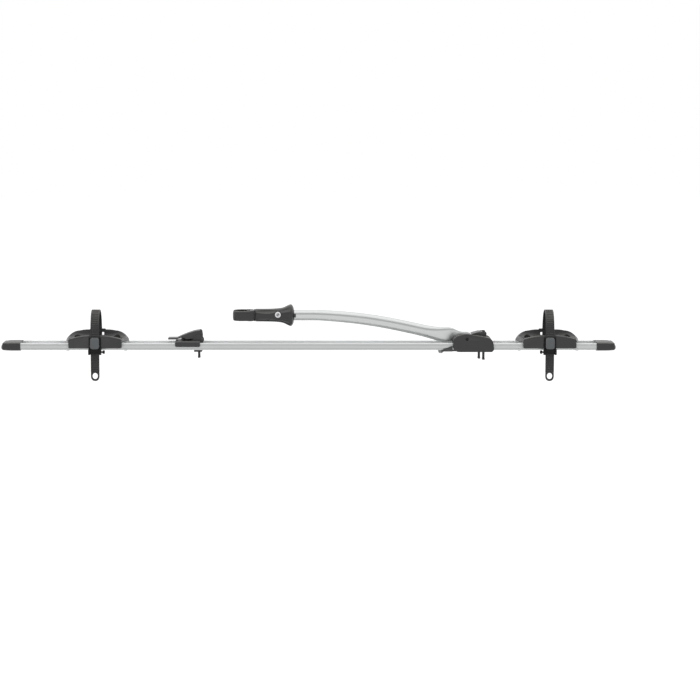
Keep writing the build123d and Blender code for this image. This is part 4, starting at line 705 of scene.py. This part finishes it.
# Along the knob's outline, from its bore and back to it: x and radius
KNOB_PROFILE = np.array([
    (-549.0, 8.2), (-549.0, 13.6), (-548.6, 14.7), (-547.6, 15.3), (-540.0, 15.5), (-520.0, 15.8),
    (-505.0, 16.1), (-495.0, 16.8), (-486.0, 18.0), (-480.0, 19.7), (-474.7, 22.1), (-470.0, 24.4),
    (-466.0, 26.0), (-463.6, 26.5), (-461.4, 26.0), (-459.4, 24.3), (-457.6, 21.4), (-456.2, 18.0),
    (-455.8, 16.4), (-456.4, 15.4), (-458.2, 14.6), (-458.3, 8.2),
])
FLUTES = 8
FLUTE_MIDDLE_X = -524.0
FLUTE_FLOOR = 13.5
FLUTE_RISE = 2.4
FLUTE_BOW = 300.0
FLUTE_TURN = math.radians(5.0)
FLARE_HOLLOW = 1.5
FLARE_START_X = -497.0
FLARE_LENGTH = 33.0
BORE_LIMIT = 12.0


def knob_shell():
    """The grip's outline turned round its axis, less eight long hollows. A hollow's radius rises from its
    floor with the squares of the distance along and of the angle across, and cuts the outline where it is
    less. It runs on over the flare as a shallow valley, a squared cosine across and a squared sine along."""
    along_profile = np.arange(len(KNOB_PROFILE), dtype=float)
    steps = np.linspace(0.0, along_profile[-1], 190)
    place, radius = smooth_through(along_profile, KNOB_PROFILE, steps).T
    turn = np.linspace(0.0, 2.0 * np.pi, 192, endpoint=False)
    half_flute = np.pi / FLUTES
    from_flute = (turn + FLUTE_TURN + half_flute) % (2.0 * half_flute) - half_flute
    floor_at = FLUTE_FLOOR + (place - FLUTE_MIDDLE_X) ** 2 / FLUTE_BOW
    hollow = floor_at[:, None] + FLUTE_RISE * (from_flute / half_flute)[None, :] ** 2
    shape = np.minimum(radius[:, None], hollow)
    along_flare = np.clip((place - FLARE_START_X) / FLARE_LENGTH, 0.0, 1.0)
    on_flare = np.where(radius > BORE_LIMIT, np.sin(np.pi * along_flare) ** 2, 0.0)
    valley = np.clip(np.cos(FLUTES / 2.0 * from_flute), 0.0, 1.0) ** 2
    shape = shape - FLARE_HOLLOW * on_flare[:, None] * valley[None, :]
    return np.stack([
        np.broadcast_to(place[:, None], shape.shape), -shape * np.cos(turn), HEAD_Z + shape * np.sin(turn),
    ], axis=-1)


knob_piece = shell_from("knob_grip", [knob_shell()], black_nylon, smooth=30.0)
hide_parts("knob")
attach(knob_piece, "knob")

# Claws: two black arms, each a stiff core in a moulded nylon skin, lined with a rubber pad. They hinge on
# steel pins in a nylon yoke, and the draw rod's fork moves their slotted tails.
softened("claw_yoke", "claw_carrier", black_nylon, "arm", width=0.0006, segments=2)
dress(black_steel, "claw_pins")
dress(black_rubber, "claw_pad_near", "claw_pad_far")

# Along a claw from its root by the knob to its tip: outer x and y, inner x and y, half height
CLAW_STATIONS = np.array([
    (-551.7, 22.2, -552.2, 20.8, 9.6), (-552.9, 24.0, -555.0, 20.2, 11.2),
    (-558.0, 25.8, -560.0, 19.2, 11.7), (-565.4, 27.9, -567.0, 16.8, 11.9),
    (-572.2, 29.2, -574.8, 19.3, 11.9), (-580.0, 30.0, -580.0, 20.0, 11.9),
    (-587.7, 29.0, -585.2, 19.3, 11.9), (-594.7, 25.6, -590.0, 17.3, 11.9),
    (-599.2, 21.3, -593.4, 14.9, 11.9), (-601.8, 17.0, -595.8, 12.3, 11.8),
    (-602.9, 12.8, -597.4, 9.8, 11.5), (-603.0, 9.4, -598.0, 8.0, 10.6), (-601.9, 7.3, -599.4, 7.3, 8.8),
])
CLAW_SQUARENESS = 3.2
CLAW_CENTRE_X = -580.0
CLAW_ARM_END_X = -566.0
CLAW_TIP_X = -597.0
CLAW_TIP_HALF_GAP = 9.6
CLAW_TIP_KEPT = 0.4
CORE_INNER_RADIUS = 21.6
CORE_OUTER_RADIUS = 27.6
CORE_JAW_HEIGHT = 0.7
CORE_TAIL_HEIGHT = 0.9


def claw_shell(side):
    """Oval sections carried round the gripped tube: each spans from the claw's inner edge to its outer
    one."""
    places = np.linspace(0.0, len(CLAW_STATIONS) - 1.0, 120)
    outer_x, outer_y, inner_x, inner_y, half_height = smooth_through(
        np.arange(len(CLAW_STATIONS), dtype=float), CLAW_STATIONS, places
    ).T
    across_part, up_part = rounded_ring(
        np.ones_like(places), half_height, np.full_like(places, CLAW_SQUARENESS), count=40
    )
    x = (outer_x + inner_x)[:, None] / 2.0 + (outer_x - inner_x)[:, None] / 2.0 * across_part
    y = (outer_y + inner_y)[:, None] / 2.0 + (outer_y - inner_y)[:, None] / 2.0 * across_part
    return np.stack([x, side * y, HEAD_Z + up_part], axis=-1)


def claw_core(corners):
    """The claw's stiff core drawn inside its moulded skin: the jaw lower by 3 parts in 10 and between two
    radii, the tail lower by 1 part in 10, and the tip held back towards the line where it starts."""
    moved = corners.copy()
    outward = np.hypot(corners[:, 0] - CLAW_CENTRE_X, corners[:, 1])
    kept = np.clip(outward, CORE_INNER_RADIUS, CORE_OUTER_RADIUS) / np.maximum(outward, 0.001)
    jaw = corners[:, 0] < CLAW_ARM_END_X
    moved[jaw, 0] = CLAW_CENTRE_X + (corners[jaw, 0] - CLAW_CENTRE_X) * kept[jaw]
    moved[jaw, 1] = corners[jaw, 1] * kept[jaw]
    tip = moved[:, 0] < CLAW_TIP_X
    moved[tip, 0] = CLAW_TIP_X + (moved[tip, 0] - CLAW_TIP_X) * CLAW_TIP_KEPT
    moved[tip, 1] = np.sign(moved[tip, 1]) * np.maximum(np.abs(moved[tip, 1]), CLAW_TIP_HALF_GAP)
    moved[:, 2] = HEAD_Z + (corners[:, 2] - HEAD_Z) * np.where(jaw, CORE_JAW_HEIGHT, CORE_TAIL_HEIGHT)
    return moved


for which, side in (("near", -1.0), ("far", 1.0)):
    claw_piece = shell_from(f"claw_skin_{which}", [claw_shell(side)], black_nylon)
    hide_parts(f"claw_{which}")
    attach(claw_piece, f"jaw_{which}")
    softened(f"claw_core_{which}", f"claw_{which}", black_nylon, f"jaw_{which}",
             width=0.0004, reshape=claw_core)

# Rear bar bracket: a nylon saddle moulded in one piece, which slides along the tray. Its steel T-bolt hangs
# from a barrel nut in the long nylon lever, whose cams bear on a wear plate. It clamps the saddle, the tray
# and a steel foot with a rubber seat to the roof bar.
softened("bracket_body", "bracket_saddle", black_nylon, "bracket", width=0.0008, segments=2)
softened("bracket_lever_shell", "bracket_cam_lever", black_nylon, "bracket_lever",
         width=0.0008, segments=2)
dress(black_steel, "bracket_foot", "bracket_t_bolt", "bracket_barrel_nut")
dress(black_rubber, "bracket_pad")
dress(zinc_steel, "bracket_wear_plate")

# Wheel cradles: two nylon troughs, each moulded in one piece. They slide along the tray, and two zinc-plated
# strips across under it hold each of them down.
for end in ("rear", "front"):
    softened(f"cradle_shell_{end}", f"cradle_{end}", black_nylon, f"holder_{end}",
             width=0.0024, segments=4)
    dress(zinc_steel, f"keepers_{end}")

# Ladder straps: flexible black plastic, moulded flat with steps in the outer face and a finger loop at the
# end. Each is pinned to its cradle's far side, goes over the wheel and comes down through the buckle.
# The strap's large dust amount is mostly a painted highlight on the arch's top.
strap_plastic = finish_of(
    "strap_plastic", colour=(0.014, 0.014, 0.015), roughness=0.40, metallic=0.0, bump=0.00005,
    layers=[(moulded_grain, {"Fineness": 1300.0, "Patches": 0.2}), (dust_and_top_light, {"Amount": 0.5})],
)
STRAP_NEAR_Y = -38.5
STRAP_FAR_Y = 36.5
STRAP_SPRING_Z = 44.0
STRAP_RISE = 55.4
STRAP_ANCHOR_Z = 26.0
TAIL_JOIN_Z = -47.0
RIB_PITCH = 5.0
RIB_DEPTH = 1.0
POINTS_A_RIB = 6.0
STEP_SHARE_OF_PITCH = 0.45
STEPPED_SHARE_OF_RUN = 0.72
# Round the strap's section: x, distance out, and 1 where a step is let in
STRAP_SECTION = np.array([
    (-10.5, 0.0, 0), (-10.2, 0.9, 0), (-9.7, 1.3, 0), (-7.8, 1.3, 0), (-7.4, 1.3, 1), (0.0, 1.3, 1),
    (7.4, 1.3, 1), (7.8, 1.3, 0), (9.7, 1.3, 0), (10.2, 0.9, 0), (10.5, 0.0, 0), (10.2, -0.9, 0),
    (9.7, -1.3, 0), (0.0, -1.3, 0), (-9.7, -1.3, 0), (-10.2, -0.9, 0),
])
LOOP_HOLE_Z = -56.6
LOOP_HOLE_HALF_WIDTH = 6.2
LOOP_HOLE_HALF_HEIGHT = 7.3
LOOP_HOLE_SQUARENESS = 2.1
LOOP_HALF_WIDTH = 10.4
# Above the hole and below it: the outline's reach and its squareness
LOOP_ABOVE = (10.8, 9.0)
LOOP_BELOW = (12.4, 2.3)
# Round the loop's section: share of the way from the hole to the outline, and distance out
LOOP_SECTION = np.array([
    (0.0, 0.0), (0.1, 0.9), (0.25, 1.25), (0.75, 1.25), (0.9, 0.9),
    (1.0, 0.0), (0.9, -0.9), (0.75, -1.25), (0.25, -1.25), (0.1, -0.9),
])


def strap_run(middle_x):
    """A ribbon's section carried up the near side, over the arch's half ellipse and down the far side. Steps
    are let into its outer face, one each pitch along the path, where the distance within the pitch is under
    a share of it."""
    straight = np.arange(TAIL_JOIN_Z, STRAP_SPRING_Z, RIB_PITCH / POINTS_A_RIB)
    swing = np.linspace(np.pi, 0.0, 150)
    centre_y = (STRAP_NEAR_Y + STRAP_FAR_Y) / 2.0
    half_span = (STRAP_FAR_Y - STRAP_NEAR_Y) / 2.0
    down = np.linspace(STRAP_SPRING_Z, STRAP_ANCHOR_Z, 8)[1:]
    path_y = np.concatenate([np.full_like(straight, STRAP_NEAR_Y), centre_y + half_span * np.cos(swing),
                             np.full_like(down, STRAP_FAR_Y)])
    path_z = np.concatenate([straight, STRAP_SPRING_Z + STRAP_RISE * np.sin(swing), down])
    run = np.concatenate([[0.0], np.cumsum(np.hypot(np.diff(path_y), np.diff(path_z)))])
    even = np.arange(0.0, run[-1], RIB_PITCH / POINTS_A_RIB)
    path_y = np.interp(even, run, path_y)
    path_z = np.interp(even, run, path_z)
    lead_y = np.gradient(path_y)
    lead_z = np.gradient(path_z)
    length = np.hypot(lead_y, lead_z)
    out_y = -lead_z / length
    out_z = lead_y / length
    section_x, section_out, in_step = STRAP_SECTION.T
    stepped = ((even / RIB_PITCH) % 1.0 < STEP_SHARE_OF_PITCH) & (even < run[-1] * STEPPED_SHARE_OF_RUN)
    out = section_out[None, :] - RIB_DEPTH * (stepped[:, None] * in_step[None, :])
    return np.stack([
        np.broadcast_to(middle_x + section_x, out.shape), path_y[:, None] + out_y[:, None] * out,
        path_z[:, None] + out_z[:, None] * out,
    ], axis=-1)


def strap_loop(middle_x):
    """The finger loop: a flat band's section carried round the hole, from the hole's oval to the tail's
    outline. The outline's cosine and sine are raised to a small power above the hole, so that it is square
    where it meets the tail, and to nearly 1 below it, so that it is round."""
    turn = np.linspace(0.0, 2.0 * np.pi, 97)
    hole_x, hole_z = rounded_ring(
        np.array([LOOP_HOLE_HALF_WIDTH]), np.array([LOOP_HOLE_HALF_HEIGHT]),
        np.array([LOOP_HOLE_SQUARENESS]), count=96,
    )
    hole_x = np.append(hole_x[0], hole_x[0, :1])
    hole_z = np.append(hole_z[0], hole_z[0, :1])
    upper = np.sin(turn) > 0.0
    power = 2.0 / np.where(upper, LOOP_ABOVE[1], LOOP_BELOW[1])
    rim_x = LOOP_HALF_WIDTH * np.sign(np.cos(turn)) * np.abs(np.cos(turn)) ** power
    rim_height = np.where(upper, LOOP_ABOVE[0], LOOP_BELOW[0])
    rim_z = rim_height * np.sign(np.sin(turn)) * np.abs(np.sin(turn)) ** power
    share, out = LOOP_SECTION.T
    return np.stack([
        middle_x + hole_x[:, None] * (1.0 - share) + rim_x[:, None] * share,
        np.broadcast_to(STRAP_NEAR_Y - out, (len(turn), len(out))),
        LOOP_HOLE_Z + hole_z[:, None] * (1.0 - share) + rim_z[:, None] * share,
    ], axis=-1)


HOLDER_PLACES = (("rear", -935.0), ("front", 162.0))
for end, middle_x in HOLDER_PLACES:
    strap_piece = shell_from(
        f"ladder_strap_{end}", [strap_run(middle_x), strap_loop(middle_x)], strap_plastic
    )
    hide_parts(f"strap_{end}")
    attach(strap_piece, f"holder_{end}")
    dress(zinc_steel, f"strap_anchor_pin_{end}")

# Ratchet buckles: a black moulded frame with two cheeks on each cradle's near side. Its shaft carries a
# toothed hub that drives the strap, turned by a grey lever with a thumb dish, and a sprung steel pawl holds
# the hub.
grey_plastic = finish_of(
    "grey_lever_plastic", colour=(0.112, 0.121, 0.127), roughness=0.36, metallic=0.0, bump=0.00004,
    layers=[(moulded_grain, {"Fineness": 1500.0, "Patches": 0.2}), (rubbed_edges, {"Amount": 0.2})],
)
# Black plastic with painted shade: the cheeks, the release knob and the hub are painted darker and less
# glossy than the other black plastic, for the shade round the buckle.
buckle_black_and_shade = finish_of(
    "buckle_black_and_shade", colour=(0.006, 0.006, 0.006), roughness=0.55, metallic=0.0, bump=0.00004, specular=0.25,
    layers=[(moulded_grain, {"Fineness": 1500.0, "Patches": 0.2})],
)
LEVER_HALF_WIDTH = 10.8
LEVER_MIDDLE_Z = 22.6
LEVER_HALF_HEIGHT = 13.8
LEVER_SQUARENESS = 5.0
LEVER_HALF_THICKNESS = 1.2
LEVER_Y = -47.5
LEVER_BOW = 4.6
LEVER_BOW_START_Z = 22.0
LEVER_BOW_HEIGHT = 14.4
LEVER_CUPPING = 0.5
DISH_DEPTH = 0.7
DISH_Z = 25.0
DISH_SPREAD = 40.0


def lever_shell(middle_x):
    """A bowed plate with a thumb dish. Its rings shrink from a rounded-rectangle outline to the middle, and
    each ring stands off the bow by a thickness that falls to nothing at the rim, as the root of one less the
    ring's share to the eighth."""
    ring_share = np.concatenate([np.linspace(0.06, 0.9, 12), 1.0 - 0.1 * np.linspace(1.0, 0.0, 9)[1:] ** 2])
    outline_x, outline_z = rounded_ring(
        np.array([LEVER_HALF_WIDTH]), np.array([LEVER_HALF_HEIGHT]), np.array([LEVER_SQUARENESS]), count=72
    )
    plan_x = ring_share[:, None] * outline_x
    plan_z = LEVER_MIDDLE_Z + ring_share[:, None] * outline_z
    up_bow = np.clip((plan_z - LEVER_BOW_START_Z) / LEVER_BOW_HEIGHT, 0.0, 1.0)
    bow = LEVER_Y + LEVER_BOW * up_bow**2 + LEVER_CUPPING * (plan_x / LEVER_HALF_WIDTH) ** 2
    dish = DISH_DEPTH * np.exp(-(plan_x**2 + (plan_z - DISH_Z) ** 2) / DISH_SPREAD)
    half = LEVER_HALF_THICKNESS * np.clip(1.0 - ring_share**8, 0.0, 1.0)[:, None] ** 0.5
    front = np.stack([middle_x + plan_x, bow + dish - half, plan_z], axis=-1)
    back = np.stack([middle_x + plan_x, bow + half, plan_z], axis=-1)
    return np.concatenate([front, back[::-1][1:]])


for end, middle_x in HOLDER_PLACES:
    lever_piece = shell_from(f"ratchet_lever_{end}", [lever_shell(middle_x)], grey_plastic)
    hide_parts(f"buckle_lever_{end}")
    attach(lever_piece, f"ratchet_{end}")
    softened(f"buckle_cheeks_{end}", f"buckle_frame_{end}", buckle_black_and_shade, f"holder_{end}",
             width=0.0005, segments=2)
    softened(f"release_knob_{end}", f"buckle_shaft_{end}", buckle_black_and_shade, f"holder_{end}",
             width=0.0003, segments=2)
    softened(f"ratchet_hub_{end}", f"buckle_hub_{end}", buckle_black_and_shade, f"ratchet_{end}",
             width=0.0003, segments=2)
    dress(zinc_steel, f"buckle_pawl_{end}", f"pawl_pin_{end}")
